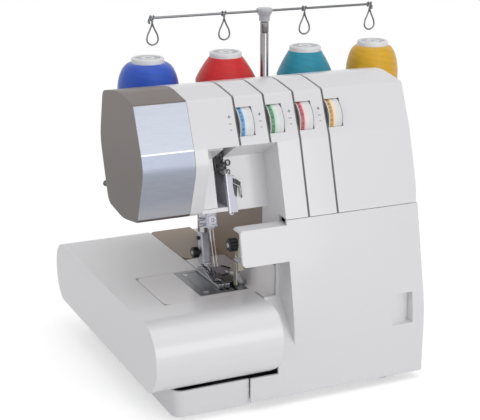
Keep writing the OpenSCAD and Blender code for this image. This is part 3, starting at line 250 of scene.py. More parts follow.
plastics = {
    "whiteCover": ((0.78, 0.775, 0.79), 0.3, 0.25), "whiteTable": ((0.82, 0.81, 0.82), 0.3, 0.2),
    "whiteBed": ((0.84, 0.82, 0.82), 0.3, 0.2), "taupe": (srgb(160, 141, 123), 0.45, 0, 0.00004),
    "pale": ((0.72, 0.72, 0.74), 0.35), "black": ((0.012, 0.012, 0.014), 0.35, 0, 0.00003),
    "enamel": ((0.03, 0.03, 0.035), 0.3, 0.4), "coneCore": ((0.83, 0.83, 0.84), 0.38, 0.1),
    "coneFace": ((0.46, 0.47, 0.49), 0.4), "ink": ((0.018, 0.018, 0.021), 0.5, 0, 0.00001),
    # the last entry is the dark colour of the painted shade in the thread slots
    "standPlastic": ((0.52, 0.52, 0.56), 0.3, 0.2), "paintedSlotShade": ((0.16, 0.15, 0.145), 0.6, 0, 0.00001)}
metals = {
    "steel": ((0.56, 0.57, 0.60), 0.24, 0.75), "steelDull": ((0.36, 0.37, 0.39), 0.36, 0.7),
    "plateSteel": ((0.25, 0.255, 0.27), 0.36, 0.85, (1400, 30, 30)),
    "cast": ((0.45, 0.46, 0.47), 0.5, 1, (300, 300, 300), 0.00005),
    "bronze": ((0.45, 0.28, 0.12), 0.4, 1, (200, 200, 200)),
    "blackOxide": ((0.035, 0.035, 0.038), 0.28, 0.6, (300, 300, 300)),
    "darkWire": ((0.05, 0.05, 0.055), 0.25, 0.8, (200, 200, 200), 0.000005),
    "chrome": ((0.33, 0.32, 0.325), 0.16, 0.9, (900, 900, 20), 0.000002),
    "barWire": ((0.20, 0.205, 0.215), 0.2, 0.9, (60, 200, 200), 0.000004),
    "steelClamp": ((0.62, 0.62, 0.70), 0.34, 0.45, (80, 80, 500), 0.000006),
    "needleSteel": ((0.66, 0.65, 0.63), 0.2, 0.7, (80, 80, 20), 0.000002),
    "plateSheet": ((0.43, 0.425, 0.50), 0.36, 0.4, (40, 40, 900), 0.000006),
    # a near-white metal for a painted highlight on the recess plate's edge
    "paintedEdgeHighlight": ((0.86, 0.86, 0.88), 0.3, 0.2, (40, 40, 900), 0.000003),
    "bracket": ((0.46, 0.43, 0.36), 0.34, 0.5, (60, 60, 500), 0.000008)}
looks = {"taupeCap": capLook(), "silver": silverLook(), "rubber": rubberLike("rubber", srgb(38, 42, 52)),
         "belt": rubberLike("belt", (0.012, 0.012, 0.012), 0.7)}
looks.update((name, plastic(name, *sizes)) for name, sizes in plastics.items())
looks.update((name, metal(name, *sizes)) for name, sizes in metals.items())

lookOfSlot = {
    "white_cover": "whiteCover", "white_table": "whiteTable", "taupe_plastic": "taupe", "taupe_cap": "taupeCap",
    "silver_trim": "silver", "rubber": "rubber", "cast_frame": "cast", "plate_steel": "plateSteel",
    "bright_steel": "steel", "clamp_steel": "steelDull", "wire": "steel", "black_plastic": "black",
    "grey_plastic": "pale", "bronze": "bronze", "motor_black": "enamel", "pulley": "cast", "belt": "belt",
}


def paint(obj, look):
    obj.data.materials.clear()
    obj.data.materials.append(look)


def usual(name):
    # the look of a CAD node, by its slot
    return looks[lookOfSlot.get(slotOf[name], "pale")]


for name, node in nodes.items():
    paint(node, usual(name))
print("materials made")

# making meshes


def meshOf(bm, name):
    made = bpy.data.meshes.new(name)
    bm.to_mesh(made)
    bm.free()
    return made


def put(name, mesh, body, look, stands=()):
    obj = added(name, mesh)
    paint(obj, looks.get(look, look))
    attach(obj, body)
    if stands:
        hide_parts(*stands)
    return obj


def frozen(obj):
    # the object's modifiers turned into plain mesh
    bpy.context.view_layer.update()
    seen = obj.evaluated_get(bpy.context.evaluated_depsgraph_get())
    mesh = bpy.data.meshes.new_from_object(seen)
    obj.modifiers.clear()
    old = obj.data
    obj.data = mesh
    bpy.data.meshes.remove(old)
    return obj


def soften(obj, bevel, segments=3, angle=28):
    # rounded edges and shading that keeps the flat faces flat
    obj.data.shade_smooth()
    edges = obj.modifiers.new("edges", "BEVEL")
    edges.width, edges.segments, edges.limit_method = bevel * mm, segments, "ANGLE"
    edges.angle_limit, edges.miter_outer = radians(angle), "MITER_ARC"
    even = obj.modifiers.new("even", "WEIGHTED_NORMAL")
    even.keep_sharp, even.weight = True, 80
    return frozen(obj)


joinGap, flatAngle, mostCorners = 2e-6, radians(0.6), 12


def refine(name, bevel, segments=3, look=None):
    # a finer copy of a CAD node: joined faces, rounded edges
    bm = bmesh.new()
    bm.from_mesh(nodes[name].data)
    bmesh.ops.remove_doubles(bm, verts=bm.verts, dist=joinGap)
    bmesh.ops.dissolve_limit(bm, angle_limit=flatAngle, verts=bm.verts, edges=bm.edges)
    bmesh.ops.dissolve_degenerate(bm, dist=joinGap, edges=bm.edges)
    bmesh.ops.triangulate(bm, faces=[f for f in bm.faces if len(f.verts) > mostCorners])
    obj = put(name + "Fine", meshOf(bm, name + "Fine"), bodyOf[name], look or usual(name), (name,))
    return soften(obj, bevel, segments)


def axes(way):
    # a turn that brings +Z onto the given way
    return Vector(way).to_track_quat("Z", "Y").to_matrix().to_4x4()


class Form:
    # one mesh made of simple closed shapes, in machine millimetres

    def __init__(self):
        self.bm = bmesh.new()

    def turned(self, profile, place=(0, 0, 0), way=(0, 0, 1), steps=48):
        # a profile of (radius, height) points turned round an axis
        turn = Matrix.Translation(place) @ axes(way)
        rings = []
        for r, h in profile:
            if r < 1e-4:
                rings.append([self.bm.verts.new(turn @ Vector((0, 0, h)))])
            else:
                rings.append([self.bm.verts.new(turn @ Vector((r * cos(a), r * sin(a),
                    h))) for a in (2 * pi * i / steps for i in range(steps))])
        pairs = list(zip(rings, rings[1:]))
        if len(rings[0]) > 1 and len(rings[-1]) > 1:
            pairs.append((rings[-1], rings[0]))
        for low, high in pairs:
            for i in range(steps):
                corners = [low[i % len(low)], low[(i + 1) % len(low)], high[(i + 1) % len(high)],
                    high[i % len(high)]]
                kept = list(dict.fromkeys(corners))
                if len(kept) > 2:
                    self.bm.faces.new(kept)
        return self

    def drawn(self, outline, low, high, way="z"):
        # an outline drawn out along x, y or z; the outline is in the other two, in order
        spots = {"x": lambda p, t: (t, p[0], p[1]), "y": lambda p, t: (p[0], t, p[1]), "z": lambda p,
            t: (p[0], p[1], t)}[way]
        ends = [[self.bm.verts.new(spots(p, t)) for p in outline] for t in (low, high)]
        count = len(outline)
        self.bm.faces.new(ends[0])
        self.bm.faces.new(ends[1])
        for i in range(count):
            self.bm.faces.new((ends[0][i], ends[0][(i + 1) % count], ends[1][(i + 1) % count], ends[1][i]))
        return self

    def block(self, low, high):
        return self.drawn([(low[0], low[1]), (high[0], low[1]), (high[0], high[1]), (low[0], high[1])], low[2],
            high[2])

    def leaning(self, turn, build):
        # shapes built upright by the given function, then set at a lean
        before = set(self.bm.verts)
        build(self)
        bmesh.ops.transform(self.bm, matrix=turn, verts=[v for v in self.bm.verts if v not in before])
        return self

    def mesh(self, name, placed=True):
        if placed:
            for v in self.bm.verts:
                v.co = at(*v.co)
        bmesh.ops.recalc_face_normals(self.bm, faces=self.bm.faces)
        return meshOf(self.bm, name)


def piece(name, form, body, slot, look, stands=(), bevel=0.2, segments=2, angle=28):
    obj = put(name, form.mesh(name), body, look, stands)
    if bevel:
        return soften(obj, bevel, segments, angle)
    obj.data.shade_smooth()
    obj.data.set_sharp_from_angle(angle=radians(angle))
    return obj


def lathe(name, profile, place, way, steps, *rest, **more):
    # one turned piece, with no edges to round
    return piece(name, Form().turned(profile, place, way, steps), *rest, bevel=0, **more)


def pick(sizes, names):
    return [sizes[k] for k in names.split()]


def move(x, y, z):
    return Matrix.Translation((x, y, z))


def spin(angle, axis="X"):
    return Matrix.Rotation(angle, 4, axis)


class Tree:
    # a geometry node tree with named inputs

    def __init__(self, name, sizes):
        self.group = bpy.data.node_groups.new(name, "GeometryNodeTree")
        face = self.group.interface
        face.new_socket("Geometry", in_out="OUTPUT", socket_type="NodeSocketGeometry")
        face.new_socket("Geometry", in_out="INPUT", socket_type="NodeSocketGeometry")
        for label, kind in sizes.items():
            face.new_socket(label, in_out="INPUT", socket_type="NodeSocket" + kind)
        self.start = self.group.nodes.new("NodeGroupInput").outputs
        self.ids = {s.name: s.identifier for s in face.items_tree if s.in_out == "INPUT"}

    def node(self, kind, inputs=None, **settings):
        full = kind if kind.startswith("Shader") else "GeometryNode" + kind
        return filled(self.group, full, inputs, settings).outputs[0]

    def end(self, geometry):
        real = self.node("RealizeInstances", {0: geometry})
        painted = self.node("SetMaterial", {0: real, "Material": self.start["Look"]})
        last = self.group.nodes.new("NodeGroupOutput")
        self.group.links.new(painted, last.inputs[0])
        return self


def grown(obj, tree, look, **sizes):
    # the tree run on the object, and its result kept as a plain mesh
    look = looks.get(look, look)
    shape = obj.modifiers.new("shape", "NODES")
    shape.node_group = tree.group
    for name, value in {**sizes, "Look": look}.items():
        shape[tree.ids[name]] = value
    paint(frozen(obj), look)
    return obj


def makeWireTree():
    # a round wire along the object's edges
    tree = Tree("wireTree", {"Radius": "Float", "Sides": "Int", "Step": "Float", "Look": "Material"})
    path = tree.node("MeshToCurve", {0: tree.start[0]})
    smooth = tree.node("CurveSplineType", {0: path}, spline_type="CATMULL_ROM")
    even = tree.node("ResampleCurve", {"Curve": smooth, "Length": tree.start["Step"]}, mode="LENGTH")
    ring = tree.node("CurvePrimitiveCircle", {"Radius": tree.start["Radius"], "Resolution": tree.start["Sides"]},
        mode="RADIUS")
    tube = tree.node("CurveToMesh", {"Curve": even, "Profile Curve": ring, "Fill Caps": True})
    return tree.end(tree.node("SetShadeSmooth", {0: tube}))


def makeAroundTree():
    # copies of the object turned about an axis through a point
    tree = Tree("aroundTree", {"Count": "Int", "Turn": "Vector", "Middle": "Vector", "Look": "Material"})
    back = tree.node("ShaderNodeVectorMath", {0: tree.start["Middle"], 1: (-1.0, -1.0, -1.0)}, operation="MULTIPLY")
    unit = tree.node("Transform", {"Geometry": tree.start[0], "Translation": back})
    spots = tree.node("MeshLine", {"Count": tree.start["Count"], "Start Location": tree.start["Middle"],
        "Offset": (0.0, 0.0, 0.0)})
    number = tree.node("InputIndex")
    turned = tree.node("ShaderNodeVectorMath", {0: tree.start["Turn"], "Scale": number}, operation="SCALE")
    return tree.end(tree.node("InstanceOnPoints", {"Points": spots, "Instance": unit, "Rotation": turned}))


def makeRowTree():
    # copies of the object in a straight row
    tree = Tree("rowTree", {"Count": "Int", "Step": "Vector", "Look": "Material"})
    spots = tree.node("MeshLine", {"Count": tree.start["Count"], "Offset": tree.start["Step"]})
    return tree.end(tree.node("InstanceOnPoints", {"Points": spots, "Instance": tree.start[0]}))


wireTree, aroundTree, rowTree = makeWireTree(), makeAroundTree(), makeRowTree()


def wire(name, paths, radius, body, look, stands=(), sides=12, step=0.6):
    # paths of points in machine millimetres; the wire goes smoothly through them
    bm = bmesh.new()
    for path in paths:
        spots = [bm.verts.new(at(*p)) for p in path]
        for a, b in zip(spots, spots[1:]):
            bm.edges.new((a, b))
    obj = put(name, meshOf(bm, name), body, look, stands)
    return grown(obj, wireTree, look, Radius=radius * mm, Sides=sides, Step=step * mm)


def around(obj, count, middle, way, look):
    step = 2 * pi / count
    return grown(obj, aroundTree, look, Count=count, Turn=[w * step for w in way], Middle=list(at(*middle)))


def inRow(obj, count, step, look):
    return grown(obj, rowTree, look, Count=count, Step=[v * mm for v in step])


def digits(text, height, deep):
    # the outline of a number as a small mesh about the origin, in millimetres
    curve = bpy.data.curves.new("number", "FONT")
    curve.body, curve.size, curve.extrude = text, height, deep / 2
    curve.align_x, curve.align_y, curve.resolution_u = "CENTER", "CENTER", 3
    holder = bpy.data.objects.new("number", curve)
    mesh = bpy.data.meshes.new_from_object(holder)
    bpy.data.objects.remove(holder)
    bpy.data.curves.remove(curve)
    return mesh


def joined(name, parts, body, slot, look):
    # small meshes with the matrices that place them in machine millimetres, made one piece
    bm = bmesh.new()
    for mesh, turn in parts:
        bm.from_mesh(mesh)
        fresh = bm.verts[-len(mesh.vertices):]
        bmesh.ops.transform(bm, matrix=turn, verts=fresh)
    for v in bm.verts:
        v.co = at(*v.co)
    return put(name, meshOf(bm, name), body, look)


# covers, from the CAD nodes
coverSet = {
    "base_pan": 1.2, "belt_cover": 1.2, "rear_cover": 0.4, "free_arm_cover": 0.5, "throat_liner": 0.8,
    "upper_cover": 0.8, "head_end_cap": 2.0, "head_trim": 0.3, "extension_table": 1.6, "looper_cover": 1.2,
    "spool_tray": 1.0}
roundings = {"head_end_cap": 4, "head_trim": 2, "extension_table": 4, "looper_cover": 4}
for name, bevel in coverSet.items():
    refine(name, bevel, roundings.get(name, 3), "whiteBed" if name == "free_arm_cover" else None)
smallBevel = 0.35
for name in ("chassis_frame", "needle_plate", "lower_knife", "feed_dog", "lower_looper", "motor", "upper_looper",
        "presser_lifter", "take_up_lever", "power_switch", "power_inlet"):
    refine(name, smallBevel, 2)
refine("upper_knife", smallBevel, 2, "bracket")
refine("thread_plate", smallBevel, 2, "plateSheet")
print("covers refined")


# thread cones
spoolSet = {"places": (50.1, 134.5, 225.2, 306.3), "radii": (30.8, 31.0, 29.5, 27.9), "row": 186.0,
            "foot": 196.3, "height": 109.7, "capHeight": 5.2, "capRadius": 16.5, "shoulders": (76, 82, 80, 76),
            "roundness": (1.0, 0.15, 0.15, 0.9), "names": ("blue", "red", "teal", "gold"),
            "colours": ((30, 88, 206), (226, 8, 12), (6, 150, 178), (238, 182, 30))}


def threadLook(name, colour, x, y):
    # crosswise windings on a cone: two crossing families of fine lines round the spool's own axis
    m = Shade(name)
    px, py, pz = m.parts()
    angle = pz.maths("ARCTAN2", py - y, px - x)
    pitch = 2 * pi / 0.00105
    one = pz.maths("SINE", pz * pitch + angle * 2.0)
    two = pz.maths("SINE", pz * pitch * 0.83 - angle * 3.0)
    strand = pz.maths("MAXIMUM", one, two)
    patch = m.noise(1.0, 3.0, (30, 30, 160))
    # the colour is darker between the strands, where the bump is low: painted shade; the patches are random tone
    tone = strand * 0.25 + 0.6 + (patch - 0.5) * 0.5
    return m.coated(Base_Color=m.darkened(tone, colour, 0.55), Roughness=0.42 + (patch - 0.5) * 0.2,
        Sheen_Weight=0.35, Sheen_Roughness=0.35, Normal=m.bump(strand + patch * 0.6, 0.5, 0.00012))


def coneProfile(i):
    # base edge, winding, shoulder, neck
    r, shoulder, full = spoolSet["radii"][i], spoolSet["shoulders"][i], spoolSet["roundness"][i]
    top = spoolSet["height"] - spoolSet["capHeight"]
    neck = spoolSet["capRadius"] + 0.4
    points = [(5.2, 2.7), (r - 3, 2.7), (r - 0.8, 3.6), (r, 5.5), (r, shoulder * 0.5)]
    for a in range(0, 91, 5):
        part, even = radians(a), a / 90
        points.append((neck + (r - neck) * (full * cos(part) + (1 - full) * (1 - even)),
            shoulder + (top - shoulder) * (full * sin(part) + (1 - full) * even)))
    return points + [(5.2, top)]


for i, x in enumerate(spoolSet["places"]):
    name, y, z = spoolSet["names"][i], spoolSet["row"], spoolSet["foot"]
    place, up, on = (x, y, z), (0, 0, 1), ("spool_%d" % (i + 1), name + "_thread")
    high, r = spoolSet["height"], spoolSet["capRadius"]
    top, axis = high - spoolSet["capHeight"], at(x, y, 0)
    paintOf = threadLook("thread_" + name, srgb(*spoolSet["colours"][i]), axis.x, axis.y)
    lathe("winding_" + name, coneProfile(i), place, up, 96, *on, paintOf, ("spool_" + name,), angle=40)
    lathe("core_" + name, [(3.1, 0), (17.5, 0), (18.5, 0.6), (18.5, 2), (18, 2.6), (4.6, 2.6), (4.6, top), (r, top),
        (r, high - 1.6), (r - 0.5, high - 0.5), (r - 1.5, high), (r - 3.2, high), (r - 3.7, high - 0.9),
        (7.6, high - 0.9), (7.1, high - 0.1), (4.7, high - 0.1), (4.2, high - 0.7), (3.1, high - 0.7)], place, up,
        72, *on, "coneCore", angle=40)
    lathe("coreFace_" + name, [(7.7, high - 0.86), (r - 3.8, high - 0.86), (r - 3.9, high - 0.74),
        (7.8, high - 0.74)], place, up, 64, *on, "coneFace")
    rib = Form().block((x + 8, y - 0.5, z + high - 0.75), (x + r - 4, y + 0.5, z + high - 0.35))
    around(piece("coreRibs_" + name, rib, *on, "coneCore", bevel=0.1), 8, place, up, "coneCore")
    print("cone", name)

# spool pins, one turned shape each
pinSet = {"flange": 12.0, "shaft": 3.0, "height": 91.0, "floor": 194.0}
f, s, h = pick(pinSet, "flange shaft height")
pins = Form()
for x in spoolSet["places"]:
    pins.turned([(0, 0), (f, 0), (f, 1.3), (f - 0.5, 2), (s + 1.2, 2), (s, 3.0), (s, h - 5), (s - 0.6, h - 1.2),
        (s - 1.6, h - 0.2), (0, h)], (x, spoolSet["row"], pinSet["floor"]), steps=32)
piece("spoolPinsTurned", pins, "machine", "grey_plastic", "pale", ("spool_pins",), bevel=0)

# telescopic thread stand
standSet = {"x": 178.0, "y": 186.0, "tubeTop": 333.5, "bar": 344.5, "tube": 4.4, "inner": 3.4, "rod": 2.4,
            "barReach": 125.0, "wire": 1.25, "eyelets": (-122.3, -45.0, 46.0, 123.5), "loop": 5.9, "loopWire": 0.85}
sx, sy, tube, inner, rod, tubeTop, bar, reach = pick(standSet, "x y tube inner rod tubeTop bar barReach")
place, up = (sx, sy, 0), (0, 0, 1)
lathe("standTube", [(inner, 188.2), (tube, 188.2), (tube, 194.1), (11, 194.1), (11, 197.6), (10.2, 198.6),
    (6.5, 199), (tube + 0.3, 201.5), (tube, 202.5), (tube, 321), (tube - 0.25, 321.4), (tube - 0.25, 322.4),
    (tube, 322.8), (tube, tubeTop - 0.5), (tube - 0.5, tubeTop), (inner, tubeTop)], place, up, 64, "machine",
    "bright_steel", "chrome", ("antenna_socket",), angle=35)
lathe("standMiddle", [(rod + 0.04, 205), (inner - 0.04, 205), (inner - 0.04, tubeTop - 0.2), (inner - 0.3, tubeTop),
    (rod + 0.04, tubeTop)], place, up, 48, "antenna_middle", "bright_steel", "chrome", ("antenna_tube",), angle=35)
lathe("standRod", [(0, 212), (rod - 0.3, 212), (rod - 0.05, 212.3), (rod - 0.05, tubeTop + 8.4),
    (0, tubeTop + 8.4)], place, up, 32, "antenna_inner", "bright_steel", "chrome", ("antenna_rod",), angle=35)
lathe("standCap", [(rod, tubeTop + 0.6), (4.9, tubeTop + 0.6), (5.5, tubeTop + 1.1), (5.6, bar - 5.5),
    (6.1, bar - 4.4), (8.1, bar - 1.2), (8.5, bar + 0.6), (8.5, bar + 1.6), (8.0, bar + 2.5), (6.9, bar + 3),
    (0, bar + 3)], place, up, 64, "antenna_head", "clamp_steel", "standPlastic", ("antenna_cap",), angle=35)

ends = [[(sx + side * (reach + out), sy, bar - down) for out, down in ((0.2, 5.4), (0.9, 3.0), (0, 0.9),
    (-3, 0))] for side in (-1, 1)]
barPath = ends[0] + [(sx + x, sy, bar) for x in range(-115, 116, 10)] + ends[1][::-1]
wire("standBar", [barPath], standSet["wire"], "antenna_head", "barWire", ("antenna_bar",), step=1.6)


def eyelet(x):
    # a wire over the bar whose two ends cross and run into one loop below
    r, low = standSet["loop"], bar - 21
    over = [(x - 1.6, 1.2, bar - 3.0), (x - 1.9, 1.9, bar), (x - 1.6, 0.6, bar + 1.9), (x - 1.4, -1.2, bar + 1.2)]
    lead = [(x - 1.0, -1.6, bar - 3), (x + 0.4, -1.0, bar - 7.5), (x + 2.6, -0.4, bar - 12),
        (x + 4.9, -0.2, bar - 16.5)]
    loop = [(x + r * cos(a), 0.0, low + r * sin(a) * 0.95) for a in (radians(d) for d in range(15, -196, -15))]
    back = [(x - 4.9, 0.2, bar - 16.5), (x - 2.6, 0.4, bar - 12), (x - 0.4, 1.0, bar - 7.5),
        (x + 1.0, 1.6, bar - 3), (x + 1.9, 1.9, bar), (x + 1.6, 0.6, bar + 1.9), (x + 1.4, -1.2, bar + 1.0)]
    return [(sx + px, sy + py, pz) for px, py, pz in over + lead + loop + back]


wire("threadEyelets", [eyelet(x) for x in standSet["eyelets"]], standSet["loopWire"], "antenna_head",
    "barWire", ("thread_eyelets",), sides=14)
print("stand done")

# tension dials
dialSet = {"first": 84.0, "pitch": 30.5, "slot": 81.6, "slotWidth": 2.2, "y": 59.2, "z": 259.8, "radius": 20.0,
           "width": 15.0, "bore": 2.56, "numberStep": 24.0, "numberSize": 3.3,
           "bands": ((104, 152, 196), (96, 150, 112), (188, 100, 108), (206, 168, 112)),
           "tints": ((214, 232, 246), (208, 232, 214), (248, 216, 220), (252, 228, 196))}


def dialLook(name, left, band, tint):
    # colour bands across the dial's rim, by the distance from its left face, and painted shade on the dial's left
    # face and right edge
    m = Shade(name)
    x, y, z = m.parts()
    across, cloud = (x - left) * 1000.0, m.noise(60.0)
    plain = m.mix(cloud, (0.74, 0.74, 0.74), (0.82, 0.82, 0.81))
    colour = m.mix(across.smooth(6.4, 8.8), tint, plain)
    colour = m.mix(across.smooth(4.9, 5.1), band, colour)
    colour = m.mix(across.smooth(0.85, 1.0), (0.78, 0.78, 0.78), colour)
    # painted shade of the gap on the left: the dial's left face near-black
    colour = m.mix(across.smooth(0.30, 0.36), (0.10, 0.10, 0.10), colour)
    # painted shade of the gap on the right: the dial's right edge near-black
    colour = m.mix(across.smooth(14.0, 14.1), colour, (0.06, 0.06, 0.065))
    return m.coated(Base_Color=colour, Roughness=0.32 + (cloud - 0.5) * 0.1, Coat_Weight=0.15,
        Normal=m.bump(m.noise(900.0), 0.2, 0.00002))


y, z, r, w, bore, step = pick(dialSet, "y z radius width bore numberStep")
for i in range(4):
    left = dialSet["first"] + i * dialSet["pitch"]
    number, on = str(i + 1), ("dial_%d" % (i + 1), ("blue", "green", "red", "tan")[i] + "_dial")
    look = dialLook("dialPaint_" + number, at(left, 0, 0).x, srgb(*dialSet["bands"][i]), srgb(*dialSet["tints"][i]))
    lathe("dial_" + number, [(bore, 0), (r - 3, 0), (r - 2.4, 0.4), (r - 1.1, 0.15), (r - 0.35, 0.4),
        (r - 0.05, 1.0), (r - 0.05, 1.25), (r - 0.3, 1.35), (r - 0.3, 5.6), (r - 0.05, 5.75), (r - 0.05, 9.4),
        (r - 0.2, 9.5), (r - 0.2, 9.7), (r, 9.9), (r, w - 1.2), (r - 0.25, w - 0.4), (r - 1, w), (r - 3, w),
        (r - 3, w - 2.9), (bore + 3.3, w - 2.9), (bore + 3, w), (bore, w)], (left, y, z), alongX, 120, *on, look,
        ("tension_dial_" + number,), angle=35)
    parts = []
    for k in range(10):
        turn = spin(-radians(step * (k - 4.5) + 14))
        parts.append((digits(str(k), dialSet["numberSize"], 0.2), move(left + 2.9, y, z) @ turn @ move(0,
            -(r - 0.28), 0) @ spin(pi / 2)))
        tick = Form().block((2.3, -(r - 0.18), -0.25), (3.7, -(r - 0.35), 0.25)).mesh("tick", False)
        parts.append((tick, move(left, y, z) @ turn @ spin(-radians(step / 2))))
    joined("dialNumbers_" + number, parts, *on, "ink")
    grip = Form().block((left + 10.6, y - r - 0.22, z - 0.22), (left + w - 1.4, y - r + 0.1, z + 0.22))
    around(piece("dialGrip_" + number, grip, *on, look, bevel=0.08), 72, (left, y, z), alongX, look)
    print("dial", i + 1)

# marks beside the dials, and painted shade in the thread slots
facetSet = {"low": (36.0, 246.5), "high": (54.0, 288.5), "markLeft": 5.6, "plus": 271.6, "long": 265.6,
            "short": 260.4, "stroke": 0.62, "reach": 1.5}
rise = Vector((0, facetSet["high"][0] - facetSet["low"][0], facetSet["high"][1] - facetSet["low"][1]))
lean = atan2(rise.y, rise.z)


def onFacet(x, z):
    # a place on the slanted facet, with a turn that lays x, y flat on it
    y = facetSet["low"][0] + (z - facetSet["low"][1]) * rise.y / rise.z
    return move(x, y, z) @ spin(pi / 2 - lean)


strokes, s, half = [], facetSet["stroke"] / 2, facetSet["reach"]
for i in range(4):
    x = dialSet["slot"] + i * dialSet["pitch"] - facetSet["markLeft"]
    for z, bars in ((facetSet["plus"], ((half, s), (s, half))), (facetSet["long"], ((half, s * 0.8),)),
            (facetSet["short"], ((half * 0.7, s * 0.8),))):
        for w, h in bars:
            mark = Form().block((-w, -h, -0.05), (w, h, 0.06)).mesh("mark", False)
            strokes.append((mark, onFacet(x, z)))
joined("dialMarks", strokes, "machine", "black_plastic", "ink")

slotSet = {"deep": 1.0, "thick": 0.6, "top": [(36.2, 247.0), (54.0, 288.3), (85, 293.2), (95, 293.9), (105, 292.9),
                                             (130, 288.5)], "front": [(15.9, 177.4)]}


def under(a, b, deep):
    # a stretch moved inwards, below the surface
    along = hypot(b[0] - a[0], b[1] - a[1])
    return [(p[0] + deep * (b[1] - a[1]) / along, p[1] - deep * (b[0] - a[0]) / along) for p in (a, b)]


# a dark strip just below each slot's surface: painted shade in the slots
slotShadeStrip, (deep, thick) = Form(), pick(slotSet, "deep thick")
for i in range(4):
    left = dialSet["slot"] + i * dialSet["pitch"]
    path = (slotSet["front"] if i > 1 else []) + slotSet["top"]
    for a, b in zip(path, path[1:]):
        (a0, b0), (a1, b1) = under(a, b, deep), under(a, b, deep + thick)
        slotShadeStrip.drawn([a0, b0, b1, a1], left + 0.04, left + dialSet["slotWidth"] - 0.04, "x")
piece("slotShadeStrip", slotShadeStrip, "machine", "black_plastic", "paintedSlotShade", bevel=0)

# tension units: spindle, paired discs, a ring behind each pair and a nut at the end
tensionSet = {"disc": 9.0, "spindle": 2.5, "gap": 0.3}
disc, spindle, gap = pick(tensionSet, "disc spindle gap")
units, (first, pitch, y, z) = Form(), pick(dialSet, "first pitch y z")
units.turned([(0, 0), (spindle - 0.3, 0), (spindle, 0.4), (spindle, 121), (spindle - 0.3, 121.4), (0, 121.4)],
    (first - 9, y, z), alongX, 24)
for i in range(4):
    place = (first + i * pitch - gap, y, z)
    for near, far in ((-0.95, 0.0), (-2.1, -1.15)):
        units.turned([(2.6, near), (disc - 0.8, near), (disc, (near + far) / 2 - 0.2), (disc - 0.8, far),
            (2.6, far)], place, alongX, 40)
    units.turned([(2.6, -5.4), (5.4, -5.4), (5.9, -4.9), (5.9, -2.6), (5.4, -2.1), (2.6, -2.1)], place, alongX, 32)
units.turned([(2.6, 0.3), (4.6, 0.3), (5, 0.7), (5, 4.6), (4.6, 5), (2.6, 5)],
    (first + 3 * pitch + dialSet["width"], y, z), alongX, 32)
piece("tensionUnits", units, "machine", "clamp_steel", "steelDull", ("tension_discs",), bevel=0, angle=35)

# threading recess: wire guides, clip and the plate, its edge painted near-white as a highlight
recessSet = {"guideWire": 0.75, "loop": 3.6, "fingerX": 70.4, "plateX": 78.2}
r = recessSet["loop"]


def openLoop(x, y, z, wall):
    # a nearly closed loop whose tail goes back into the wall
    turns = [(x + r * cos(a), y, z + r * sin(a)) for a in (radians(d) for d in range(60, -261, -20))]
    return turns + [(x + 0.8, y + 1.5, z + r + 0.4), (x + 0.6, wall - 1, z + 0.5), (x + 0.6, wall, z)]


wire("guideLoops", [openLoop(75, 61, 222, 62.6), openLoop(64, 76, 206, 76.8)], recessSet["guideWire"], "machine",
    "darkWire", ("thread_guides",))
wallTilt = atan2(14.2, 51.0)
onWall = move(85.0, 58.1, 200.0) @ spin(-wallTilt)


def wallAt(z):
    # the recess's back wall
    return 52.0 + (z - 178.0) * tan(wallTilt)


liner = Form().drawn([(wallAt(184.2), 184.2), (wallAt(228.9), 228.9), (41.0, 243.3), (41.9, 244.9),
    (wallAt(228.9) + 1.8, 230.6), (wallAt(184.2) + 2, 184.2)], 50.3, 67.7, "x")
piece("recessLiner", liner, "machine", "white_cover", "whiteCover", bevel=0.3)


def clipShape(f):
    f.drawn([(0.2, 9.8), (3.2, 8.6), (7.7, 5.1), (6.7, 2.5), (0.4, 5.6)], -2.6, 0.2, "y")
    f.drawn([(-0.6, 3.6), (0.6, 4.7), (4.4, 3.3), (2.2, -8.4), (0.4, -6.4)], -1.7, 0.2, "y")


piece("guideClip", Form().leaning(onWall, clipShape), "machine", "black_plastic", "black", bevel=0.3)
wire("clipWire", [[(87.6, 57.6, 206.6), (90.6, 57.4, 204.9), (91.6, 56.6, 202.4), (92.2, 53.9, 191.5)]], 0.6,
    "machine", "darkWire")
wire("clipLine", [[(85.2, 56.9, 205.4), (88.0, 56.4, 203.6), (91.0, 56.0, 201.6), (91.4, 53.6, 194.0)]], 0.45,
    "machine", "steel")
wire("fingerWires", [[(72.2, 66.0, 229.6), (71.6, 64.6, 225.0), (70.8, 64.6, 219.0), (70.2, 63.6, 214.0)],
    [(74.8, 65.6, 229.6), (74.4, 63.6, 225.4), (73.4, 62.6, 221.0), (72.0, 62.6, 216.0)]], 0.6, "take_up",
    "darkWire")
fingerEnds = Form()
for x in (recessSet["fingerX"], recessSet["fingerX"] + 3.3):
    fingerEnds.drawn([(62.6, 229.2), (67.6, 228.8), (70.4, 236.6), (66.6, 237.4)], x, x + 2.9, "x")
piece("fingerEnds", fingerEnds, "take_up", "black_plastic", "blackOxide", bevel=0.4)
low, high, plateX = 178.3, 214.8, recessSet["plateX"]
# the plate's edge strip, painted near-white: a painted highlight
plateEdge = Form().drawn([(wallAt(low) - 2.2, low), (wallAt(high) - 2.2, high), (wallAt(high) - 0.2, high),
    (wallAt(low) - 0.2, low)], plateX, plateX + 1.5, "x")
piece("plateEdge", plateEdge, "machine", "bright_steel", "paintedEdgeHighlight", bevel=0.35)
plateHooks = [[(80.1, 64.6, 225.9), (82.4, 64.0, 226.6), (84.2, 63.8, 225.0), (83.6, 62.8, 222.4),
    (80.9, 62.6, 222.0), (80.0, 64.0, 225.6), (79.6, 61.9, 217.0)], [(79.4, 60.6, 214.0), (79.9, 60.0, 217.6),
    (81.6, 59.8, 218.2), (82.6, 60.0, 216.2), (82.4, 60.8, 213.6)]]
wire("plateHooks", plateHooks, 0.5, "machine", "darkWire", step=0.5)
plateCurl = [[(78.6, 51.2, 178.8), (79.6, 50.6, 177.4), (81.4, 50.5, 177.2), (82.4, 51.0, 178.6)]]
wire("plateCurl", plateCurl, 0.6, "machine", "steel", step=0.5)
print("recess done")

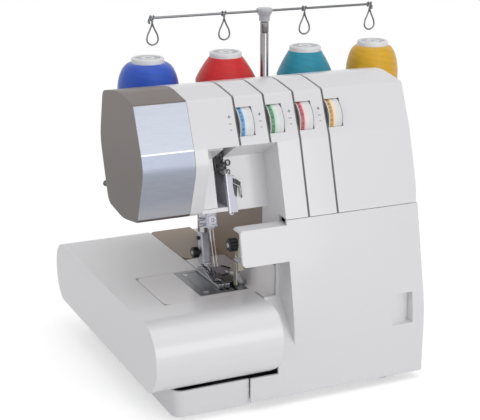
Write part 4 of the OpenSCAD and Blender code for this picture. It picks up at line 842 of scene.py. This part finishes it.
# the needle bar's and the presser bar's own leans
needleSet = {"x": 79.0, "y": 80.5, "bed": 98.5, "lean": 16.7, "bar": 3.2, "clampAt": 55.6, "clampHigh": 13.8,
             "apart": 3.2}
presserSet = {"x": 79.0, "y": 110.8, "bed": 98.5, "lean": 6.84, "bar": 3.5, "screws": (23.7, 37.8), "collar": 115.3}
onNeedle, onPresser = (move(s["x"], s["y"], s["bed"]) @ spin(radians(-s["lean"])) for s in (needleSet, presserSet))


def leanPiece(name, turn, build, *rest, **more):
    return piece(name, Form().leaning(turn, build), *rest, **more)


bar, clampAt = needleSet["bar"], needleSet["clampAt"]
leanPiece("needleBarTurned", onNeedle, lambda f: f.turned([(0, 59.6), (bar - 0.5, 59.6), (bar, 60.1), (bar, 125.4),
    (2.2, 126.4), (0, 126.4)], steps=32), "needle_drive", "bright_steel", "chrome", ("needle_bar",), bevel=0)


def clampShape(f):
    # split block with a front pad, a slit on the right, two screws and the needle seat
    f.drawn([(-6.4, -3.6), (-5.0, -5.0), (5.0, -5.0), (6.4, -3.6), (6.4, -0.5), (1.2, -0.5), (1.2, 0.5), (6.4, 0.5),
        (6.4, 4.2), (5.4, 5.0), (-5.4, 5.0), (-6.4, 4.2)], clampAt, clampAt + needleSet["clampHigh"])
    f.drawn([(-3.8, -5.9), (3.8, -5.9), (4.6, -4.9), (-4.6, -4.9)], 58.0, 67.0)
    for s in (59.0, 64.5):
        f.turned([(0, -12.4), (1.1, -12.4), (1.8, -11.9), (1.8, -8.2), (1.4, -8.0), (1.1, -6.3), (0, -6.3)],
            (0, 0, s), alongX, 20)
    f.turned([(0, 4.9), (1.9, 4.9), (1.9, 6.2), (1.5, 6.6), (0, 6.6)], (0, 0, 62.5), (0, -1, 0), 24)
    f.drawn([(-2.9, -2.0), (2.9, -2.0), (2.9, 2.0), (-2.9, 2.0)], 53.6, 55.7)


leanPiece("needleClampFine", onNeedle, clampShape, "needle_drive", "clamp_steel", "steelClamp", ("needle_clamp",),
    bevel=0.3)


def needleShape(f):
    # point, thin blade and thick shank
    for side in (-0.5, 0.5):
        x = side * needleSet["apart"]
        f.turned([(0, 15.2), (0.16, 16.4), (0.36, 18.2), (0.46, 21.0), (0.46, 39.5), (0.6, 40.8), (0.98, 43.4),
            (1.0, 44.0), (1.0, 58.5), (0.7, 59.0), (0, 59.0)], (x, 0, 0), steps=20)


leanPiece("needlePair", onNeedle, needleShape, "needle_drive", "bright_steel", "needleSteel", ("needles",), bevel=0)


def barShape(f):
    # the bar with its collar and the lug behind it
    size, collar = presserSet["bar"], presserSet["collar"]
    f.turned([(0, 13.6), (size - 0.4, 13.6), (size, 14.0), (size, 149.4), (2.4, 150.2), (2.4, 167.4), (1.8, 168),
        (0, 168)], steps=32)
    f.turned([(size - 0.05, collar), (4.3, collar), (4.3, collar + 10), (size - 0.05, collar + 10)], steps=32)
    f.block((-4, 2.5, 117.5), (4, 13.5, 121.1))


leanPiece("presserBarTurned", onPresser, barShape, "presser", "bright_steel", "steel", ("presser_bar",), bevel=0.15)


def footShape(f):
    # shank round the bar, with a plate on its front
    f.drawn([(-4.9, -4.2), (-3.7, -5.4), (3.7, -5.4), (4.9, -4.2), (4.9, 4.2), (3.7, 5.4), (-3.7, 5.4),
        (-4.9, 4.2)], 12.0, 43.0)
    f.drawn([(-4.1, -6.1), (2.2, -6.1), (2.9, -5.3), (-4.9, -5.3)], 14.0, 41.5)


leanPiece("footShank", onPresser, footShape, "presser", "clamp_steel", "steelClamp", bevel=0.35)

footSet = {"left": 73.5, "right": 84.5, "toe": 64.0, "heel": 124.0, "sole": 98.8, "thick": 2.5, "runner": 2.1}
left, right, front, heel, low, thick, runner = pick(footSet, "left right toe heel sole thick runner")
sole, tip, top = Form(), [(front, low + 4.8), (front + 2.2, low)], low + thick
bend = [(front + 3.2, top), (front + 0.8, low + 5.3)]
long, short = (tip + [(end, low), (end, high)] + bend for end, high in ((heel, top - 0.1), (73.8, top)))
for x0, x1, outline in (
        (left, left + runner, long), (right - runner, right, long),
        (left + 2, left + 4.6, short), (right - 4.6, right - 2, short),
        (left + 2, right - 2, [(88.4, low), (heel, low), (heel, top - 0.1), (88.4, top - 0.1)]),
        (left, left + 1.9, [(84, low + 2.3), (122, low + 2.3), (118.6, low + 7.6), (112, low + 9.2),
                            (104, low + 9.4), (92, low + 5.6)]),
        (right - 1.9, right, [(96, low + 2.3), (120, low + 2.3), (117, low + 6.6), (104, low + 8.4)]),
        (75.7, 82.3, [(104.6, low + 2.3), (118, low + 2.3), (117.2, 112.6), (106.2, 112.6)])):
    sole.drawn(outline, x0, x1, "x")
piece("footSole", sole, "presser", "clamp_steel", "steel", ("presser_foot",), bevel=0.35)
wire("footGuide", [[(82.6, 78.0, 102.2), (80.0, 74.0, 104.2), (77.0, 74.4, 105.0), (75.0, 78.0, 103.6),
    (75.2, 84.0, 101.6)]], 0.7, "presser", "chrome")
lathe("footHinge", [(0, -6.0), (1.0, -6.0), (1.4, -5.6), (1.4, 5.6), (1.0, 6.0), (0, 6.0)], (79, 111.0, 108.6),
    alongX, 20, "presser", "bright_steel", "steel")
wing = Form().drawn([(83.4, 84.4), (90.5, 84.4), (98.4, 92.0), (99.4, 101.0), (95.6, 108.0), (88.0, 108.0),
    (83.4, 104.0)], 104.6, 105.8)
piece("footWing", wing, "presser", "clamp_steel", "plateSheet", bevel=0.3)
wire("footRim", [[(76.4, 112.0, 109.4), (76.0, 100.0, 107.8), (75.0, 88.0, 105.6), (74.6, 80.0, 103.6)],
    [(83.2, 88.0, 105.8), (83.6, 84.0, 105.8), (90.8, 83.8, 105.8)]], 0.8, "presser", "darkWire",
    step=0.8)
wire("footTop", [[(94.6, 108.6, 106.0), (98.0, 102.0, 106.2), (99.6, 98.0, 106.2)]], 0.7, "presser",
    "darkWire", step=0.8)


def screwBody(s, size, near, far):
    # a black knurled screw head on the left of the shank
    return leanPiece("thumbScrew_%d" % round(s), onPresser, lambda f: f.turned([(0, far), (size - 0.9, far),
        (size - 0.35, far + 0.5), (size - 0.35, near - 0.4), (size - 0.8, near), (2.0, near), (2.0, -5.0),
        (1.4, -5.0), (1.4, -3.6), (0, -3.6)], (0, 0, s), alongX, 40), "presser", "black_plastic", "blackOxide",
        bevel=0)


low, high = presserSet["screws"]
screwBody(low, 5.5, -7.0, -13.4)
screwBody(high, 2.5, -5.6, -7.4)
knurl = Form().leaning(onPresser, lambda f: f.drawn([(-13.0, 4.95), (-7.4, 4.95), (-7.4, 5.45), (-13.0, 5.45)],
    low - 0.32, low + 0.32, "z"))
ring = piece("thumbKnurl", knurl, "presser", "black_plastic", "blackOxide", ("foot_screws",), bevel=0.1)
around(ring, 26, tuple(onPresser @ Vector((0, 0, low))), alongX, "blackOxide")
leanPiece("thumbSlot", onPresser, lambda f: f.turned([(0, -13.62), (1.5, -13.62), (1.9, -13.38), (1.9, -13.3),
    (0, -13.3)], (0, 0, low), alongX, 24), "presser", "bright_steel", "steel", bevel=0)
print("needle and foot done")

# knife knob with its bright screw, and the needle plate's screws
knobSet = {"y": 60.0, "z": 144.0, "left": 80.5, "right": 88.8, "radius": 6.5, "lobes": 6, "dip": 0.75}
knob, (y, z, left, right, radius, dip) = Form(), pick(knobSet, "y z left right radius dip")
turns = [radians(d) for d in range(0, 360, 5)]
for size, low, high in ((1.0, left + 0.5, right), (0.9, left, left + 0.6)):
    rim = [(radius - dip * (0.5 - 0.5 * cos(knobSet["lobes"] * a))) * size for a in turns]
    knob.drawn([(y + r * cos(a), z + r * sin(a)) for r, a in zip(rim, turns)], low, high, "x")
piece("knifeKnobLobed", knob, "knife", "black_plastic", "blackOxide", ("knife_knob",), bevel=0.35, segments=3)
knobScrew = Form().turned([(0, -0.5), (2.1, -0.5), (2.5, -0.15), (2.5, 0.3), (0, 0.3)], (left, y, z), alongX, 32)
knobScrew.block((left - 0.56, y - 2.1, z - 0.3), (left - 0.4, y + 2.1, z + 0.3))
piece("knobScrew", knobScrew, "knife", "bright_steel", "steel", bevel=0)
holderSet = {"bolt": 1.9, "places": (123.0, 131.5)}
bolts, size = Form(), holderSet["bolt"]
for z in holderSet["places"]:
    bolts.turned([(0, -1.2), (size - 0.6, -1.2), (size, -0.8), (size, 0.2), (0, 0.2)], (89.3, 60, z), alongX, 24)
piece("knifeBolts", bolts, "knife", "clamp_steel", "steel", bevel=0)

plateSet = {"bed": 98.5, "head": 3.0}
low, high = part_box("needle_plate_screws")
screwX = (low[0] + high[0]) / 2 / mm + midX
heads, top, size = Form(), plateSet["bed"] + 0.2, plateSet["head"]
for y in (low[1] / mm + midY + size, high[1] / mm + midY - size):
    # a head in two halves with the slot between them, on a shank
    for side in (1, -1):
        arc = [(size * cos(a), side * max(0.42, size * sin(a))) for a in (radians(d) for d in range(8, 173, 12))]
        heads.drawn([(screwX + px, y + py) for px, py in arc], top - 0.85, top)
    heads.turned([(0, top - 6.1), (1.5, top - 6.1), (1.5, top - 1.2), (size, top - 1.2), (size, top - 0.75),
        (0, top - 0.75)], (screwX, y, 0), steps=32)
piece("plateScrews", heads, "machine", "bright_steel", "steel", ("needle_plate_screws",), bevel=0.12)

# rubber feet
footRing = Form()
for x in (63.0, 227.0):
    for y in (24.0, 238.0):
        footRing.turned([(0, 0.5), (8.5, 0.5), (9, 0), (12.2, 0), (13.3, 0.5), (13.9, 1.6), (13.7, 2.6),
            (13.2, 2.8), (13.2, 3.3), (13.6, 3.5), (13.1, 6), (0, 6)], (x, y, 0), steps=64)
piece("feetTurned", footRing, "machine", "rubber", "rubber", ("rubber_feet",), bevel=0, angle=40)
print("knob, screws and feet done")

# handwheel
wheelSet = {"x": 297.5, "y": 118.0, "z": 70.0, "radius": 35.0, "wide": 14.0, "bore": 5.02, "ribs": 54}
x, y, z, r, w, b = pick(wheelSet, "x y z radius wide bore")
lathe("handwheelTurned", [(0, w - 0.95), (b, w - 0.95), (b, -5), (10.5, -5), (11, -4.5), (11, 0), (r - 3.4, 0),
    (r - 1.6, 0.5), (r - 0.6, 1.8), (r - 0.6, w - 3.4), (r - 1.3, w - 1.6), (r - 2.8, w - 0.4), (r - 4.4, w),
    (r - 6.8, w), (r - 8, w - 0.5), (r - 9.6, w - 3.6), (r - 10.8, w - 4), (13.2, w - 4), (12, w - 3.5),
    (11.3, w - 0.8), (10.4, w - 0.1), (0, w - 0.1)], (x, y, z), alongX, 120, "drive", "grey_plastic", "whiteCover",
    ("handwheel",), angle=40)
rib = Form().drawn([(y - 0.55, z + r - 0.8), (y + 0.55, z + r - 0.8), (y + 0.3, z + r - 0.05),
    (y - 0.3, z + r - 0.05)], x + 2.2, x + w - 4.0, "x")
around(piece("wheelRibs", rib, "drive", "grey_plastic", "whiteCover", bevel=0), wheelSet["ribs"], (x, y, z), alongX,
    "whiteCover")
lathe("wheelMark", [(0, 0), (1.5, 0), (1.5, 0.2), (0, 0.2)], (x + w - 4.12, y, z + 18.5), alongX, 24, "drive",
    "black_plastic", "ink")

# stitch length dial with a fluted rim, numbers and a pointer mark on the cover
stitchSet = {"x": 296.3, "y": 175.0, "z": 130.0, "radius": 14.0, "high": 10.0, "flutes": 24, "numbers": 4}
x, y, z, r, w = pick(stitchSet, "x y z radius high")
rim = [(r - 0.55 - 0.5 * cos(stitchSet["flutes"] * a), a) for a in (radians(d * 1.875) for d in range(192))]
stitch = Form()
stitch.drawn([(y + q * cos(a), z + q * sin(a)) for q, a in rim], x + 0.4, x + w - 1.4, "x")
stitch.drawn([(y + (q - 0.9) * cos(a), z + (q - 0.9) * sin(a)) for q, a in rim], x, x + w - 0.3, "x")
stitch.turned([(0, -8.9), (7.4, -8.9), (8, -8.4), (8, -6.3), (7.6, -6.0), (5, -6.0), (5, 0.2), (0, 0.2)], (x, y, z),
    alongX, 48)
stitch.turned([(0, w - 0.4), (8.6, w - 0.4), (8.0, w), (0, w)], (x, y, z), alongX, 64)
piece("stitchDialFluted", stitch, "length_dial", "grey_plastic", "whiteCover", ("stitch_length_dial",), bevel=0.3)
marks = []
for k in range(stitchSet["numbers"]):
    a = radians(40 * (k - 1.5))
    spot = move(x + w - 0.34, y + 10.9 * sin(a), z + 10.9 * cos(a))
    marks.append((digits(str(k + 1), 2.9, 0.12), spot @ spin(-a) @ spin(pi / 2, "Z") @ spin(pi / 2)))
joined("stitchNumbers", marks, "length_dial", "black_plastic", "ink")
pointer = Form().drawn([(y - 1.3, z + r + 5.2), (y + 1.3, z + r + 5.2), (y, z + r + 2.4)], x - 0.35, x - 0.2, "x")
piece("stitchPointer", pointer, "machine", "black_plastic", "ink", bevel=0)

# switch ridges and marks, inlet pins
switchSet = {"x": 296.0, "y": 200.0, "z": 60.0, "wide": 5.4}
x, y, z, w = pick(switchSet, "x y z wide")
ridge = piece("switchRidges", Form().block((x + 0.6, y - w + 0.8, z - 6.6), (x + 2.35, y + w - 0.8, z - 6.2)),
    "switch", "black_plastic", "black", bevel=0.08)
inRow(ridge, 4, (-0.11, 0, 1.1), "black")
piece("switchMarks", Form().block((x - 0.2, y - 0.3, z + 3.4), (x + 0.58, y + 0.3, z + 6.6)), "switch",
    "grey_plastic", "pale", bevel=0)
inletSet = {"x": 296.0, "y": 235.0, "z": 60.0, "apart": 5.0}
x, y, z, step = pick(inletSet, "x y z apart")
pinsIn = Form()
for side in (y - step, y, y + step):
    pinsIn.drawn([(side - 1, z - 1.6), (side + 1, z - 1.6), (side + 1, z + 1.6), (side - 1, z + 1.6)], x - 14.2,
        x - 3.5, "x")
piece("inletPins", pinsIn, "machine", "bright_steel", "steel", bevel=0.3)


def crossScrew(form, place, way, size=3.4):
    # a pan head with a shallow round dip in place of the cross recess, standing on the cover
    form.turned([(0, -0.6), (size, -0.6), (size, 0.25), (size * 0.9, 0.6), (size * 0.6, 0.85), (size * 0.42, 0.9),
        (size * 0.3, 0.35), (0, 0.3)], place, way, 28)


backSet = {"rear": 262.0, "places": ((28, 50), (28, 160), (238, 50), (262, 160)), "floor": 6.0,
           "under": ((40, 60), (40, 200), (250, 60), (270, 220), (150, 130))}
screws = Form()
for x, z in backSet["places"]:
    crossScrew(screws, (x, backSet["rear"], z), (0, 1, 0))
for x, y in backSet["under"]:
    crossScrew(screws, (x, y, backSet["floor"]), (0, 0, -1))
piece("coverScrews", screws, "machine", "bright_steel", "steelDull", bevel=0)
print("right side and back done")

# springs, rods and the drive inside
springSet = {"from": 125.9, "to": 163.0, "turns": 6.5, "radius": 5.45, "wire": 0.62}
low, high, turns, radius = pick(springSet, "from to turns radius")
spots, count = [], int(turns * 20)
for i in range(count + 1):
    part = i / count
    a = 2 * pi * turns * part
    eased = min(1, max(0, (part - 0.08) / 0.84))
    s = low + (high - low) * (0.035 * part + 0.965 * eased)
    spots.append(tuple(onPresser @ Vector((radius * cos(a), radius * sin(a), s))))
wire("presserSpringCoil", [spots], springSet["wire"], "machine", "steelDull", ("presser_spring",),
    sides=10, step=0.9)
rodSet = {"y": 1.5, "z": 13.5}
low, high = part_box("looper_cover_rod")
r, left, right = (high[2] - low[2]) / 2 / mm, low[0] / mm + midX, high[0] / mm + midX
half = [(0, 0), (r - 0.4, 0), (r, 0.4), (r, 2.6), (r - 0.35, 2.7), (r - 0.35, 3.5), (r, 3.6)]
lathe("coverRodTurned", [(q, left + d) for q, d in half] + [(q, right - d) for q, d in half[::-1]],
    (0, rodSet["y"], rodSet["z"]), alongX, 32, "cover_rod", "bright_steel", "steel", ("looper_cover_rod",))
for name in ("main_shaft", "shaft_bushes", "shaft_pulley", "motor_pulley", "drive_belt", "pressure_screw"):
    refine(name, 0.4, 2)
print("inside done")

# light and surroundings
lightSet = {"key": 8.5, "fill": 0.9, "top": 6.2, "world": 0.5, "floorGlow": 0.5}


def areaLight(name, place, aim, size, power):
    data = bpy.data.lights.new(name, "AREA")
    data.shape, data.size, data.size_y, data.energy = "RECTANGLE", size, size, power
    obj = added(name, data)
    obj.location = place
    obj.rotation_euler = (Vector(aim) - Vector(place)).to_track_quat("-Z", "Y").to_euler()


areaLight("keyLight", (0.35, -1.8, 0.6), (0, 0, 0.15), 1.0, lightSet["key"])
areaLight("fillLight", (-1.7, -0.9, 0.6), (0, 0, 0.15), 1.2, lightSet["fill"])
areaLight("topLight", (0.0, -0.3, 1.7), (0, 0, 0), 1.4, lightSet["top"])


def seenStraight(shade):
    # 1 for what the camera, a shiny face or glass shows of the surroundings
    rays = [shade.node("LightPath", k) for k in ("Is Camera Ray", "Is Glossy Ray", "Is Transmission Ray")]
    return rays[0].maths("MAXIMUM", rays[0].maths("MAXIMUM", rays[0], rays[1]), rays[2])


sky = Shade("sky", True)
light = sky.node("Background", 0, {0: (0.98, 0.985, 1.0, 1), 1: lightSet["world"]})
white = sky.node("Background", 0, {0: (1, 1, 1, 1), 1: 1.0})
sky.node("OutputWorld", 0, {0: sky.node("MixShader", 0, {0: seenStraight(sky), 1: light, 2: white})})
scene.world = sky.home

floorMesh = bpy.data.meshes.new("floor")
wide = 4
corners = [(-wide, -wide, 0), (wide, -wide, 0), (wide, wide, 0), (-wide, wide, 0)]
floorMesh.from_pydata(corners, [], [(0, 1, 2, 3)])
floor = added("floor", floorMesh)
ground = Shade("floor")
plain = ground.principled(Base_Color=(0.82, 0.82, 0.82), Roughness=0.9)
glow = ground.node("Emission", 0, {0: (1, 1, 1, 1), 1: lightSet["floorGlow"]})
near = ground.node("AddShader", 0, {0: plain, 1: glow})
far = ground.node("Emission", 0, {0: (1, 1, 1, 1), 1: 1.0})
away = ground.node("VectorMath", 1, {0: ground.coords()}, operation="LENGTH").smooth(0.35, 0.9)
shown = ground.node("MixShader", 0, {0: away, 1: near, 2: far})
lit = ground.node("MixShader", 0, {0: seenStraight(ground), 1: plain, 2: shown})
floorMesh.materials.append(ground.finish(lit))
print("stage set")
